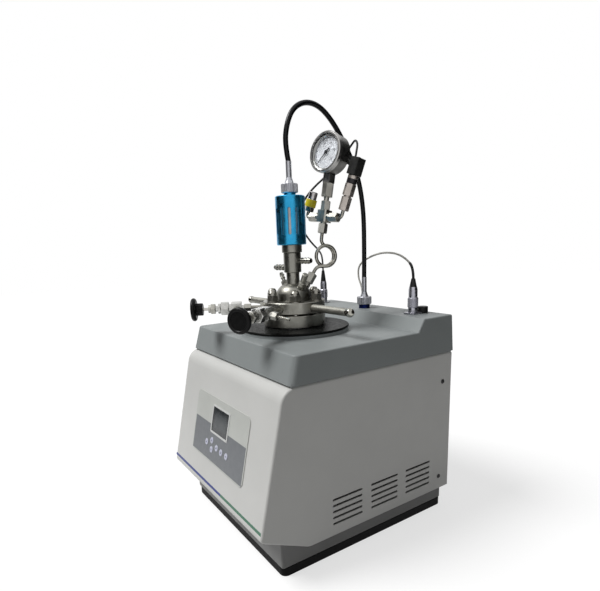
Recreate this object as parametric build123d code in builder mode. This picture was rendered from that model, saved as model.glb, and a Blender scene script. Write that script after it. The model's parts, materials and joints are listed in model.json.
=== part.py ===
from build123d import *
from math import atan2, cos, degrees, pi, radians, sin, sqrt, tan
import os

# A bench-top hydrothermal reactor: a stirred pressure vessel standing in a heated cabinet.
# Millimetres, +Z up, origin on the floor under the vessel's axis, front towards -Y.

# ---------------------------------------------------------------- driving dimensions
fit_gap = 0.1                # side clearance of a piece that seats in another
run_gap = 0.05               # radial clearance of a shaft in its bore
nut_face_step = 0.3          # a nut's bevelled end is this much smaller in radius than its flats

# base and cabinet body
base_height = 15
base_half_width = 160
base_front = -140
base_rear = 202
base_corner = 10
plinth_front = -141
plinth_rear = 200
plinth_wall = 3
cabinet_width = 340
cabinet_rear = 206
sheet = 2                    # thickness of the folded steel sheet
housing_floor = 41
housing_top = 289.5
chin_y = -103                # where the flat underside turns up into the chin
lip_y, lip_z = -179.4, 77.4  # lowest corner of the fascia
brow_y = -131.8              # top corner of the fascia
lip_radius = 8
brow_radius = 25
fascia_edge = 4
rim_width = 20               # flange left beside the top opening
rear_rim = 9                 # and behind it, past the motor
vent_pitch, vent_rows = 10, 5
vent_group_pitch, vent_groups = 77, 3
vent_centre = (51.8, 80)
vent_length, vent_height = 59, 3.8
flange_depth = 34            # folded side flange of the rear panel
screw_places = [(184.9, 239.8), (181.8, 64.6)]
screw_radius, screw_head, screw_head_height, screw_length = 1.9, 3.9, 1.9, 8

# control panel on the fascia, measured from the lip corner up the slope
panel_left, panel_right = -97.2, 98.6
panel_bottom, panel_top = 49.9, 158.4
panel_corner = 9.4
panel_thickness = 1
window_left, window_right = -27.4, 30.7
window_bottom, window_top = 102.3, 143.8
window_frame = 3.2           # raised frame round the display
window_frame_height = 0.6
window_thickness = 0.9
key_radius, key_height = 5.7, 0.9
key_places = [(-39.1, 78.4), (-19.9, 86.5), (-18.1, 71.4), (0.3, 79.4), (17.9, 78.0), (37.1, 78.2)]
board_width, board_height, board_thickness = 150, 90, 1.6
board_stand = 12             # how far the board stands behind the fascia sheet

# top cover
reveal = 2                   # dark joint between housing and cover
cover_top = 332
cover_wall = 3
cover_front = -110.2
cover_half_width = 169.2
front_draft = 15.6
side_draft = 4
step_front, step_rear = 125.3, 139.5
deck_height = 20.2           # rise of the rear deck over the cover's top
cover_corner = 10
cover_edge = 3
foot_width = 8
boss_radius, boss_height = 92, 5
disc_radius, disc_thickness = 93, 4
disc_bore = 46

# heater well
vessel_radius = 32.5
vessel_bottom = 262
cavity_radius = 22
cavity_bottom = 275
flange_radius = 52.7
flange_height = 20
flange_bevel = 1
disc_gap = 1.5               # air between the disc and the vessel's flange
collar_radius = 45
heater_radius = 52
heater_bottom = 250
heater_flange_radius, heater_flange_height = 70, 4
heater_bore_gap = 0.5
insulation_radius = 72
insulation_bottom = 238
insulation_floor = 8
port_radius = 42             # bolt circle of the vessel and head
stud_count = 6
stud_radius = 4.9
stud_depth = 17
nut_flats = 17
nut_height = 18
washer_radius, washer_height = 10, 2

# head
gasket_inner, gasket_outer, gasket_height = 22.5, 36, 2.3
head_height = 19
hub_radius, hub_height = 29.4, 12.4
dome_top_radius, dome_height = 11.1, 15.8
neck_height = 18.4
bar_azimuth = 3
bar_radius, bar_reach, bar_ball = 6, 148, 7
bar_socket_depth = 8
boss_reach = 5.3             # valve bosses on the rim of the head
valve_boss_radius = 7.5
port_tilt = 33.6
port_base = (21.2, 402.4)    # radius and height where the dome ports start
port_boss_radius = 6.2
port_boss_height = 8
siphon_azimuth = 78
siphon_nut_start, siphon_nut_end = 10.7, 28.7
nut_grip = 6                 # how far a spigot or pipe reaches into its nut
thermowell_azimuth = 0
gas_azimuth = 180

# stirrer drive
shaft_radius = 4
shaft_bottom = 283
impeller_radius, impeller_height, impeller_blades = 15, 12, 4
jacket_radius, jacket_height = 14.7, 32.7
bush_radius, bush_height = 8, 8
nipple_reach = 42
nipple_radius, nipple_barb, nipple_bore = 4.1, 5.25, 2.8
nipple_barb_pitch = 7
nipple_high, nipple_high_azimuth = 19.1, 13.5
nipple_low, nipple_low_azimuth = 8.1, 193.5
collar_ring_radius, collar_ring_height = 16.8, 12.3
can_radius, can_wall, can_height = 13.5, 1, 59
magnet_radius, magnet_height = 12, 44
drum_radius, drum_height = 24.5, 78
drum_wall = 3.2
drum_top_wall = 6
spigot_height = 4.6
cup_inner, cup_outer = 14.2, 20.5
cup_height = 57
cup_base = 5
cup_lift = 8.6               # bottom of the magnet cup over the drum's rim
slot_count, slot_width, slot_length = 12, 4.9, 42.6
slot_bottom = 16.6
slot_turn = 22.5
drum_neck_radius, drum_neck_height = 9.8, 4.6
knurl_radius, knurl_height, knurl_count, knurl_depth = 13.8, 14.4, 30, 0.8
thread_radius, thread_height = 7.9, 9
sleeve_radius, sleeve_flare = 4.7, 9.3
sleeve_length = 34.2         # ferrule from the nut's top to the sheath
outlet_sleeve_length = 36.9
sheath_radius = 4.3

# motor under the rear deck
motor_x, motor_y = -8, 166
motor_radius, motor_bottom, motor_top = 28, 255, 340
motor_boss_radius = 12
outlet_radius, outlet_height = 10.6, 7.5

# needle valves on the head's rim, measured along their axis from the vessel's axis
valve_azimuths = {"left": -120, "right": -60}
tube_radius, tube_bore = 3, 2
valve_nut = (73.6, 85.6)
valve_nut_flats = 12
valve_neck_radius = 4.5
block_start, block_end, block_size = 90, 106.7, 20
thread_start_radius = 7
bonnet_start, bonnet_end, bonnet_flats = 111.3, 124.8, 21
ring_end, ring_radius = 129.4, 8.5
waist_end, waist_radius = 134, 4.75
packing_end, packing_flats, packing_collar_end, packing_collar_radius = 142, 16, 146, 6.5
stem_radius, stem_start = 2.5, 101
hub_start, hub_end, knob_hub_radius = 155, 166, 10.5
knob_end, knob_radius, knob_recess = 174.5, 19.5, 1.2
flute_count, flute_radius = 10, 1.7
outlet_slope = 11
outlet_nut = (11.8, 22)
outlet_reach, outlet_tube_radius, outlet_tube_bore = 43, 2.25, 1.4
outlet_shank_radius, outlet_shoulder = 2, 0.2    # the tube's end inside its nut

# gauge manifold, on its own leaning frame
manifold_origin = (12.7, 59.7, 520.6)
manifold_lean = 9.8
manifold_turn = 11
cross_half_height, cross_half_width, cross_depth = 10, 14, 18.5
cross_spigot = 5.5
side_drop = 1.8              # side branches lie this much under the cross's centre
fitting_flats = 14
adaptor_flats = 17
adaptor_start, adaptor_end = 31.5, 54.1
gauge_centre = 100.1
gauge_radius, gauge_back, gauge_front = 31.5, 10.8, -12
gauge_wall = 3.5
bezel_radius, bezel_front = 33, -20
gauge_stem = 14
dial_radius, dial_thickness = 30.2, 1
branch_lean = 12.4           # both upright branches lean this much to the right
relief_x = -38.5
sensor_x = 38.2

# connectors on the rear deck
signal_socket = (113.7, 169.7)
sensor_socket = (-138, 165)
gland_place = (-27, 178)
cap_place = (116, 192)

# rear panel pieces
fan_size, fan_depth, fan_x, fan_z, fan_hole = 60, 25, 80, 110, 29
fan_hub_radius, fan_blades = 14, 7
inlet_x, inlet_z = -95, 92
inlet_width, inlet_height = 30, 48

# ---------------------------------------------------------------- heights that follow
cover_bottom = housing_top + reveal
deck_top = cover_top + deck_height
boss_top = cover_top + boss_height
disc_top = boss_top + disc_thickness
vessel_flange_bottom = disc_top + disc_gap
vessel_flange_top = vessel_flange_bottom + flange_height
head_bottom = vessel_flange_top + gasket_height
head_top = head_bottom + head_height
hub_top = head_top + hub_height
dome_top = hub_top + dome_height
neck_top = dome_top + neck_height
jacket_top = neck_top + jacket_height
drum_bottom = jacket_top + collar_ring_height
drum_top = drum_bottom + drum_height
drum_nut_bottom = drum_top + drum_neck_height
drum_nut_top = drum_nut_bottom + knurl_height
bar_height = head_bottom + head_height / 2
outlet_nut_bottom = deck_top + outlet_height
outlet_nut_top = outlet_nut_bottom + knurl_height
fascia_lean = degrees(atan2(brow_y - lip_y, housing_top - lip_z))
fascia_up = (0, sin(radians(fascia_lean)), cos(radians(fascia_lean)))
fascia_out = (0, -cos(radians(fascia_lean)), sin(radians(fascia_lean)))
fascia = Plane(origin=(0, lip_y, lip_z), x_dir=(1, 0, 0), z_dir=fascia_out)
cabinet_depth = cabinet_rear - lip_y


# ---------------------------------------------------------------- shapes used by many pieces
def outline_plane(place):
    """Plane in which (radius, height) outlines are drawn before turning about place's z axis."""
    return Plane(origin=place.origin, x_dir=place.x_dir, z_dir=-place.y_dir)


def turn(place, outline, mode=Mode.ADD):
    """Turn a closed (radius, height) outline about the z axis of place, in the current part."""
    with BuildSketch(outline_plane(place)) as section:
        with BuildLine():
            Polyline(*outline, close=True)
        make_face()
    revolve(section.sketch, axis=Axis(place.origin, place.z_dir), mode=mode)


def bar(place, radius, start, end, mode=Mode.ADD):
    """Round bar, or hole, along the z axis of place between two distances."""
    with BuildSketch(place.offset(start)) as section:
        Circle(radius)
    extrude(section.sketch, amount=end - start, mode=mode)


def slab(place, width, height, start, end, corner=0, centre=(0, 0), mode=Mode.ADD):
    """Rectangular slab across place, between two distances along its z axis."""
    with BuildSketch(place.offset(start)) as section:
        with Locations(centre):
            if corner:
                RectangleRounded(width, height, corner)
            else:
                Rectangle(width, height)
    extrude(section.sketch, amount=end - start, mode=mode)


def ring_outline(inner, outer, bottom, top, bevel):
    """Half section of a ring whose outer corners are bevelled."""
    return [(inner, bottom), (outer - bevel, bottom), (outer, bottom + bevel),
            (outer, top - bevel), (outer - bevel, top), (inner, top)]


def hex_bar(place, across_flats, start, end):
    """Hexagon along the z axis of place, with its corners turned off at both ends."""
    flat = across_flats / 2
    face = flat - nut_face_step
    corner = flat / cos(radians(30)) + nut_face_step
    bevel = (corner - face) * tan(radians(30))
    with BuildPart() as hexagon:
        with BuildSketch(place.offset(start)):
            RegularPolygon(flat, 6, major_radius=False)
        extrude(amount=end - start)
        turn(place, [(0, start), (face, start), (corner, start + bevel),
                     (corner, end - bevel), (face, end), (0, end)], mode=Mode.INTERSECT)
    return hexagon.part


def tube_nut(place, across_flats, start, end, spigot_radius, spigot_end, pipe_radius):
    """Compression nut: it screws over a spigot at its start and closes on a pipe at its end."""
    with BuildPart() as nut:
        add(hex_bar(place, across_flats, start, end))
        bar(place, spigot_radius + run_gap, start, spigot_end, mode=Mode.SUBTRACT)
        bar(place, pipe_radius + run_gap, start, end, mode=Mode.SUBTRACT)
    return nut.part


def knurled_nut(place, start, end):
    """Round nut with straight knurling, open over the thread and closed in round the sleeve."""
    with BuildPart() as nut:
        turn(place, ring_outline(thread_radius + run_gap, knurl_radius, start, end, 1))
        with BuildSketch(place.offset(start)):
            with PolarLocations(knurl_radius, knurl_count):
                Rectangle(knurl_depth * sqrt(2), knurl_depth * sqrt(2), rotation=45)
        extrude(amount=end - start, mode=Mode.SUBTRACT)
    return nut.part


def flared_sleeve(place, nut_start, nut_end, sleeve_end):
    """Ferrule that is held in a knurled nut and narrows down to the flexible shaft."""
    with BuildPart() as sleeve:
        turn(place, [(0, nut_start + thread_height), (thread_radius, nut_start + thread_height),
                     (thread_radius, nut_end), (sleeve_radius + 1.4, nut_end + sleeve_flare / 2),
                     (sleeve_radius, nut_end + sleeve_flare), (sleeve_radius, sleeve_end),
                     (0, sleeve_end)])
    return sleeve.part


def radial_plane(azimuth, height):
    """Plane whose z axis leaves the vessel's axis level, at an azimuth and height."""
    turned = radians(azimuth)
    return Plane(origin=(0, 0, height), x_dir=(-sin(turned), cos(turned), 0),
                 z_dir=(cos(turned), sin(turned), 0))


def port_plane(azimuth):
    """Plane on the dome whose z axis leans outward along a port."""
    turned, tilt = radians(azimuth), radians(port_tilt)
    return Plane(origin=(port_base[0] * cos(turned), port_base[0] * sin(turned), port_base[1]),
                 x_dir=(-sin(turned), cos(turned), 0),
                 z_dir=(sin(tilt) * cos(turned), sin(tilt) * sin(turned), cos(tilt)))


def housing_block(inset, rear, mode=Mode.ADD):
    """Cabinet body: flat floor, chin, leaning fascia and flat top, drawn inward by inset."""
    half = cabinet_width / 2 - inset
    with BuildSketch(Plane.YZ.offset(-half)) as section:
        with BuildLine():
            Polyline((rear, housing_floor), (chin_y, housing_floor), (lip_y, lip_z),
                     (brow_y, housing_top), (rear, housing_top), close=True)
        make_face()
        fillet(section.vertices().sort_by(Axis.X)[0], lip_radius)
        fillet(section.vertices().group_by(Axis.Y)[-1].sort_by(Axis.X)[0], brow_radius)
        if inset:
            offset(amount=-inset)
    extrude(section.sketch, amount=2 * half, mode=mode)


def cover_form(inset, bottom):
    """Top cover: leaning front, drafted sides and a sloped step up to the rear deck."""
    drop = cover_top - bottom
    front = cover_front - drop * tan(radians(front_draft))
    half_bottom = cover_half_width + drop * tan(radians(side_draft))
    half_deck = cover_half_width - deck_height * tan(radians(side_draft))
    with BuildPart() as form:
        with BuildSketch(Plane.YZ) as side:
            with BuildLine():
                Polyline((front, bottom), (cover_front, cover_top), (step_front, cover_top),
                         (step_rear, deck_top), (cabinet_rear, deck_top),
                         (cabinet_rear, bottom), close=True)
            make_face()
            if inset:
                offset(amount=-inset, kind=Kind.INTERSECTION)
        extrude(amount=cabinet_width, both=True)
        with BuildSketch(Plane.XZ) as face:
            with BuildLine():
                Polyline((-half_bottom, bottom), (half_bottom, bottom),
                         (half_deck, deck_top), (-half_deck, deck_top), close=True)
            make_face()
            if inset:
                offset(amount=-inset, kind=Kind.INTERSECTION)
        extrude(amount=cabinet_depth, both=True, mode=Mode.INTERSECT)
    return form.part


# ---------------------------------------------------------------- base, plinth and housing
with BuildPart() as base_tray:
    slab(Plane.XY, 2 * base_half_width, base_rear - base_front, 0, base_height,
         corner=base_corner, centre=(0, (base_front + base_rear) / 2))
    chamfer(base_tray.edges().group_by(Axis.Z)[-1], 1.5)

chin_slope = (lip_z - housing_floor) / (chin_y - lip_y)
plinth_front_top = housing_floor + (chin_y - plinth_front) * chin_slope


def plinth_block(inset, mode=Mode.ADD):
    """Plinth that fills the space between the base and the cabinet's chin and floor."""
    with BuildSketch(Plane.YZ.offset(-base_half_width + inset)) as section:
        with BuildLine():
            Polyline((plinth_front, base_height - inset), (plinth_front, plinth_front_top),
                     (chin_y, housing_floor), (plinth_rear, housing_floor),
                     (plinth_rear, base_height - inset), close=True)
        make_face()
        if inset:
            offset(amount=-inset, kind=Kind.INTERSECTION)
    extrude(section.sketch, amount=2 * (base_half_width - inset), mode=mode)


with BuildPart() as plinth:
    plinth_block(0)
    fillet(plinth.edges().filter_by(Axis.Z), 4)
    plinth_block(plinth_wall, mode=Mode.SUBTRACT)

opening_front = brow_y + brow_radius
opening_rear = cabinet_rear - rear_rim
opening_width = cabinet_width - 2 * rim_width
with BuildPart() as housing:
    housing_block(0, cabinet_rear)
    fillet(housing.edges().filter_by(Axis((0, 0, 0), fascia_up)), fascia_edge)
    housing_block(sheet, cabinet_rear + 2 * sheet, mode=Mode.SUBTRACT)
    slab(Plane.XY, opening_width, opening_rear - opening_front, housing_top - 2 * sheet, housing_top,
         corner=8, centre=(0, (opening_front + opening_rear) / 2), mode=Mode.SUBTRACT)
    with BuildSketch(Plane.YZ.offset(-cabinet_width)):
        with Locations(vent_centre):
            with GridLocations(vent_group_pitch, vent_pitch, vent_groups, vent_rows):
                SlotOverall(vent_length, vent_height)
    extrude(amount=2 * cabinet_width, mode=Mode.SUBTRACT)
    with BuildSketch(Plane.YZ.offset(-cabinet_width)):
        with Locations(*screw_places):
            Circle(screw_radius + fit_gap)
    extrude(amount=2 * cabinet_width, mode=Mode.SUBTRACT)
    slab(fascia, window_right - window_left - 4, window_top - window_bottom - 4, -3 * sheet, sheet,
         centre=((window_left + window_right) / 2, (window_bottom + window_top) / 2),
         mode=Mode.SUBTRACT)

panel_inner = cabinet_width / 2 - sheet - fit_gap
panel_floor = housing_floor + sheet + fit_gap
panel_ceiling = housing_top - sheet - fit_gap
fan_front = cabinet_rear - sheet - fan_depth
with BuildPart() as rear_panel:
    with BuildSketch(Plane.XZ.offset(-cabinet_rear)) as plate:
        with BuildLine():
            Polyline((-panel_inner, panel_floor), (panel_inner, panel_floor),
                     (panel_inner, panel_ceiling), (-panel_inner, panel_ceiling), close=True)
        make_face()
        with Locations((fan_x, fan_z)):
            with PolarLocations(fan_hole * 0.62, 12):
                SlotOverall(fan_hole * 0.6, 3.2, mode=Mode.SUBTRACT)
        with Locations((inlet_x, inlet_z)):
            Rectangle(inlet_width - 4, inlet_height - 4, mode=Mode.SUBTRACT)
    extrude(amount=sheet)
    for side in (-1, 1):
        slab(Plane.YZ, flange_depth, panel_ceiling - panel_floor,
             side * (panel_inner - sheet), side * panel_inner,
             centre=(cabinet_rear - flange_depth / 2, (panel_floor + panel_ceiling) / 2))
    with BuildSketch(Plane.YZ.offset(-cabinet_width)):
        with Locations(*screw_places):
            Circle(screw_radius + fit_gap)
    extrude(amount=2 * cabinet_width, mode=Mode.SUBTRACT)

with BuildPart() as cabinet_screws:
    for side in (-1, 1):
        for along, height in screw_places:
            screw_plane = Plane(origin=(side * cabinet_width / 2, along, height),
                                x_dir=(0, 1, 0), z_dir=(side, 0, 0))
            turn(screw_plane, [(0, -screw_length), (screw_radius, -screw_length), (screw_radius, 0),
                               (screw_head, 0), (screw_head, 0.6),
                               (screw_head * 0.6, screw_head_height), (0, screw_head_height)])
            slab(screw_plane, 1, screw_head, 1, screw_head_height + 1, mode=Mode.SUBTRACT)
            slab(screw_plane, screw_head, 1, 1, screw_head_height + 1, mode=Mode.SUBTRACT)

# ---------------------------------------------------------------- control panel
panel_centre = ((panel_left + panel_right) / 2, (panel_bottom + panel_top) / 2)
window_centre = ((window_left + window_right) / 2, (window_bottom + window_top) / 2)
window_width = window_right - window_left
window_height = window_top - window_bottom
with BuildPart() as control_panel:
    slab(fascia, panel_right - panel_left, panel_top - panel_bottom, 0, panel_thickness,
         corner=panel_corner, centre=panel_centre)
    slab(fascia, window_width + 2 * window_frame, window_height + 2 * window_frame,
         panel_thickness, panel_thickness + window_frame_height, corner=4, centre=window_centre)
    slab(fascia, window_width, window_height, 0, 2 * panel_thickness, corner=2,
         centre=window_centre, mode=Mode.SUBTRACT)
    for place in key_places:
        key_plane = Plane(origin=fascia.from_local_coords((place[0], place[1], panel_thickness)),
                          x_dir=fascia.x_dir, z_dir=fascia.z_dir)
        turn(key_plane, [(0, 0), (key_radius, 0), (key_radius - 0.5, key_height * 0.7),
                         (key_radius - 1.6, key_height), (0, key_height)])

with BuildPart() as display_window:
    slab(fascia, window_width - 2 * fit_gap, window_height - 2 * fit_gap, 0, window_thickness,
         corner=2 - fit_gap, centre=window_centre)

with BuildPart() as control_board:
    board_face = -sheet - board_stand
    slab(fascia, board_width, board_height, board_face - board_thickness, board_face,
         centre=panel_centre)
    slab(fascia, window_width, window_height, board_face, -sheet - 0.5, centre=window_centre)
    with BuildSketch(fascia.offset(board_face)):
        with Locations(panel_centre):
            with GridLocations(board_width - 10, board_height - 10, 2, 2):
                Circle(3)
    extrude(amount=board_stand)
    slab(fascia, 40, 34, board_face - board_thickness - 28, board_face - board_thickness,
         centre=(panel_centre[0] - 45, panel_centre[1]))
    with BuildSketch(fascia.offset(board_face - board_thickness)):
        with Locations(panel_centre):
            with GridLocations(20, 22, 3, 2):
                Circle(6)
    extrude(amount=-16)

# ---------------------------------------------------------------- top cover and its disc
with BuildPart() as top_cover:
    add(cover_form(0, cover_bottom))
    corners = top_cover.edges().filter_by(
        lambda edge: edge.center().Y < cover_front and abs(edge.center().X) > cover_half_width)
    fillet(corners, cover_corner)
    crown = top_cover.edges().filter_by(
        lambda edge: edge.center().Z > cover_top - 0.5 and edge.center().Y < cabinet_rear - 1
        and not (abs(edge.center().X) < 1 and abs(edge.center().Y - step_front) < 1))
    fillet(crown, cover_edge)
    with BuildSketch(Plane.XY.offset(cover_top)):
        Circle(boss_radius)
    extrude(amount=boss_height)
    add(cover_form(cover_wall, cover_bottom - 3 * cover_wall), mode=Mode.SUBTRACT)
    with BuildSketch(Plane.XY.offset(housing_top)):
        foot_front = cover_front - (cover_top - cover_bottom) * tan(radians(front_draft)) + cover_wall
        with Locations((0, (foot_front + cabinet_rear - 1) / 2)):
            Rectangle(2 * cover_half_width, cabinet_rear - 1 - foot_front)
            Rectangle(2 * (cover_half_width - foot_width),
                      cabinet_rear - 1 - foot_front - 2 * foot_width, mode=Mode.SUBTRACT)
    extrude(amount=reveal + 3)
    bar(Plane.XY, heater_radius + 1, cover_bottom, boss_top, mode=Mode.SUBTRACT)
    with BuildSketch(Plane.XY.offset(deck_top)):
        with Locations((motor_x, motor_y), signal_socket, sensor_socket):
            Circle(thread_radius + fit_gap)
        with Locations(gland_place):
            Circle(2.5)
    extrude(amount=-2 * cover_wall, mode=Mode.SUBTRACT)

with BuildPart() as cover_disc:
    turn(Plane.XY, ring_outline(disc_bore, disc_radius, boss_top, disc_top, 1))

# ---------------------------------------------------------------- heater well
heater_flange_top = cover_top - cover_wall
heater_bore = vessel_radius + heater_bore_gap
with BuildPart() as heater_block:
    heater_flange_bottom = heater_flange_top - heater_flange_height
    turn(Plane.XY, [(0, heater_bottom), (heater_radius, heater_bottom),
                    (heater_radius, heater_flange_bottom),
                    (heater_flange_radius, heater_flange_bottom),
                    (heater_flange_radius, heater_flange_top), (heater_radius, heater_flange_top),
                    (heater_radius, boss_top - 0.5), (collar_radius, boss_top - 0.5),
                    (collar_radius, vessel_flange_bottom), (heater_bore, vessel_flange_bottom),
                    (heater_bore, vessel_bottom), (0, vessel_bottom)])

with BuildPart() as insulation:
    turn(Plane.XY, [(0, insulation_bottom), (insulation_radius, insulation_bottom),
                    (insulation_radius, heater_flange_bottom),
                    (heater_radius + 1, heater_flange_bottom),
                    (heater_radius + 1, insulation_bottom + insulation_floor),
                    (0, insulation_bottom + insulation_floor)])

with BuildPart() as vessel:
    turn(Plane.XY, [(0, vessel_bottom), (vessel_radius - 2, vessel_bottom),
                    (vessel_radius, vessel_bottom + 2), (vessel_radius, vessel_flange_bottom),
                    *ring_outline(cavity_radius, flange_radius, vessel_flange_bottom,
                                  vessel_flange_top, flange_bevel)[1:],
                    (cavity_radius, cavity_bottom + 4), (cavity_radius - 4, cavity_bottom),
                    (0, cavity_bottom)])
    with BuildSketch(Plane.XY.offset(vessel_flange_top)):
        with PolarLocations(port_radius, stud_count, start_angle=30):
            Circle(stud_radius + fit_gap)
    extrude(amount=-stud_depth, mode=Mode.SUBTRACT)

with BuildPart() as gasket:
    turn(Plane.XY, ring_outline(gasket_inner, gasket_outer, vessel_flange_top, head_bottom, 0.3))

# ---------------------------------------------------------------- head, studs and nuts
dome_rise = 5
thermowell_plane = port_plane(thermowell_azimuth)
gas_plane = port_plane(gas_azimuth)
siphon_plane = port_plane(siphon_azimuth)
with BuildPart() as reactor_head:
    with BuildSketch(Plane.XZ) as head_section:
        with BuildLine():
            Polyline((dome_top_radius, neck_top), (shaft_radius + 1, neck_top),
                     (shaft_radius + 1, head_bottom), (flange_radius - flange_bevel, head_bottom),
                     (flange_radius, head_bottom + flange_bevel),
                     (flange_radius, head_top - flange_bevel),
                     (flange_radius - flange_bevel, head_top), (hub_radius, head_top),
                     (hub_radius, hub_top))
            ThreePointArc((hub_radius, hub_top),
                          ((hub_radius + dome_top_radius) / 2 + dome_rise / 2,
                           hub_top + dome_height / 2 + dome_rise / 2),
                          (dome_top_radius, dome_top))
            Line((dome_top_radius, dome_top), (dome_top_radius, neck_top))
        make_face()
    revolve(axis=Axis.Z)
    for azimuth in valve_azimuths.values():
        bar(radial_plane(azimuth, bar_height), valve_boss_radius, 40, flange_radius + boss_reach)
    for plane in (thermowell_plane, gas_plane, siphon_plane):
        bar(plane, port_boss_radius, -8, port_boss_height)
    for azimuth in valve_azimuths.values():
        bar(radial_plane(azimuth, bar_height), tube_radius + run_gap,
            flange_radius - 6, flange_radius + boss_reach, mode=Mode.SUBTRACT)
    bar(siphon_plane, cross_spigot, port_boss_height, siphon_nut_start + nut_grip - 0.2)
    for plane in (thermowell_plane, gas_plane, siphon_plane):
        bar(plane, cross_spigot / 2, 0, siphon_nut_start + nut_grip, mode=Mode.SUBTRACT)
    for azimuth in (bar_azimuth, bar_azimuth + 180):
        bar(radial_plane(azimuth, bar_height), bar_radius + fit_gap,
            flange_radius - bar_socket_depth, flange_radius + 1, mode=Mode.SUBTRACT)
    with BuildSketch(Plane.XY.offset(head_bottom)):
        with PolarLocations(port_radius, stud_count, start_angle=30):
            Circle(stud_radius + 0.6)
    extrude(amount=head_height, mode=Mode.SUBTRACT)

stud_top = head_top + washer_height + nut_height * 0.62
with BuildPart() as head_studs:
    with BuildSketch(Plane.XY.offset(vessel_flange_top - stud_depth)):
        with PolarLocations(port_radius, stud_count, start_angle=30):
            Circle(stud_radius)
    extrude(amount=stud_top - vessel_flange_top + stud_depth)

nut_bottom = head_top + washer_height
nut_top = nut_bottom + nut_height
hex_height = nut_height * 0.55
with BuildPart() as head_nuts:
    for number in range(stud_count):
        turned = radians(30 + 360 / stud_count * number)
        stud_plane = Plane(origin=(port_radius * cos(turned), port_radius * sin(turned), 0),
                           x_dir=(cos(turned), sin(turned), 0), z_dir=(0, 0, 1))
        bar(stud_plane, washer_radius, head_top, nut_bottom)
        add(hex_bar(stud_plane, nut_flats, nut_bottom, nut_bottom + hex_height))
        turn(stud_plane, [(0, nut_bottom + hex_height), (nut_flats / 2 - 0.8, nut_bottom + hex_height),
                          (nut_flats / 2 - 1.2, nut_top - 4.5), (nut_flats / 2 - 3.4, nut_top - 1.2),
                          (0, nut_top)])
        bar(stud_plane, stud_radius + fit_gap, head_top, stud_top + 0.5, mode=Mode.SUBTRACT)

with BuildPart() as lift_bars:
    for azimuth in (bar_azimuth, bar_azimuth + 180):
        bar_plane = radial_plane(azimuth, bar_height)
        bar(bar_plane, bar_radius, flange_radius - bar_socket_depth, bar_reach - bar_ball)
        with BuildSketch(outline_plane(bar_plane)) as ball:
            with Locations((0, bar_reach - bar_ball)):
                Circle(bar_ball)
                Rectangle(2 * bar_ball, 2 * bar_ball, align=(Align.MAX, Align.CENTER),
                          mode=Mode.SUBTRACT)
        revolve(axis=Axis(bar_plane.origin, bar_plane.z_dir))

# ---------------------------------------------------------------- cooled neck and magnetic drive
def barbed_outline(start, end):
    """Half section of a hose nipple with three barbs."""
    outline = [(0, start), (nipple_radius, start)]
    for number in range(3):
        foot = end - nipple_barb_pitch * (3 - number)
        outline += [(nipple_radius, foot), (nipple_barb, foot + 1.5)]
    return outline + [(nipple_radius - 0.3, end), (0, end)]


with BuildPart() as cooling_jacket:
    turn(Plane.XY, ring_outline(bush_radius + run_gap, jacket_radius, neck_top, jacket_top, 1))
    for azimuth, rise in ((nipple_high_azimuth, nipple_high), (nipple_low_azimuth, nipple_low)):
        nipple_plane = radial_plane(azimuth, neck_top + rise)
        turn(nipple_plane, barbed_outline(jacket_radius - 2, nipple_reach))
        bar(nipple_plane, nipple_bore, jacket_radius - 4, nipple_reach, mode=Mode.SUBTRACT)

with BuildPart() as shaft_bushes:
    for bottom in (neck_top + 1, jacket_top - bush_height - 1):
        turn(Plane.XY, ring_outline(shaft_radius + run_gap, bush_radius, bottom,
                                    bottom + bush_height, 0.5))

can_top = drum_bottom + can_height
with BuildPart() as isolation_can:
    turn(Plane.XY, [(shaft_radius + 1, jacket_top), (collar_ring_radius - 0.8, jacket_top),
                    (collar_ring_radius, jacket_top + 0.8), (collar_ring_radius, drum_bottom),
                    (drum_radius - drum_wall - fit_gap, drum_bottom),
                    (drum_radius - drum_wall - fit_gap, drum_bottom + spigot_height),
                    (can_radius, drum_bottom + spigot_height), (can_radius, can_top),
                    (0, can_top), (0, can_top - can_wall), (can_radius - can_wall, can_top - can_wall),
                    (can_radius - can_wall, drum_bottom + 6), (shaft_radius + 1, drum_bottom + 6)])

magnet_bottom = drum_bottom + 11
with BuildPart() as stirrer_shaft:
    bar(Plane.XY, shaft_radius, shaft_bottom, magnet_bottom + magnet_height / 2)
    bar(Plane.XY, shaft_radius + 3, shaft_bottom + 2, shaft_bottom + 2 + impeller_height)
    for number in range(impeller_blades):
        blade_turn = 360 / impeller_blades * number
        blade_plane = radial_plane(blade_turn, shaft_bottom + 2 + impeller_height / 2)
        with BuildSketch(blade_plane.offset(shaft_radius)):
            Rectangle(1.6, impeller_height - 1, rotation=-35)
        extrude(amount=impeller_radius - shaft_radius)

with BuildPart() as inner_rotor:
    turn(Plane.XY, ring_outline(0, magnet_radius, magnet_bottom, magnet_bottom + magnet_height, 0.8))
    bar(Plane.XY, shaft_radius + 0.02, magnet_bottom, magnet_bottom + magnet_height / 2,
        mode=Mode.SUBTRACT)

cup_bottom = drum_bottom + cup_lift
cup_top = cup_bottom + cup_height
with BuildPart() as outer_rotor:
    turn(Plane.XY, [(cup_inner, cup_bottom), (cup_outer, cup_bottom), (cup_outer, cup_top),
                    (shaft_radius, cup_top), (shaft_radius, drum_nut_bottom + thread_height - 1),
                    (0, drum_nut_bottom + thread_height - 1), (0, cup_top - cup_base),
                    (cup_inner, cup_top - cup_base)])

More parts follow.
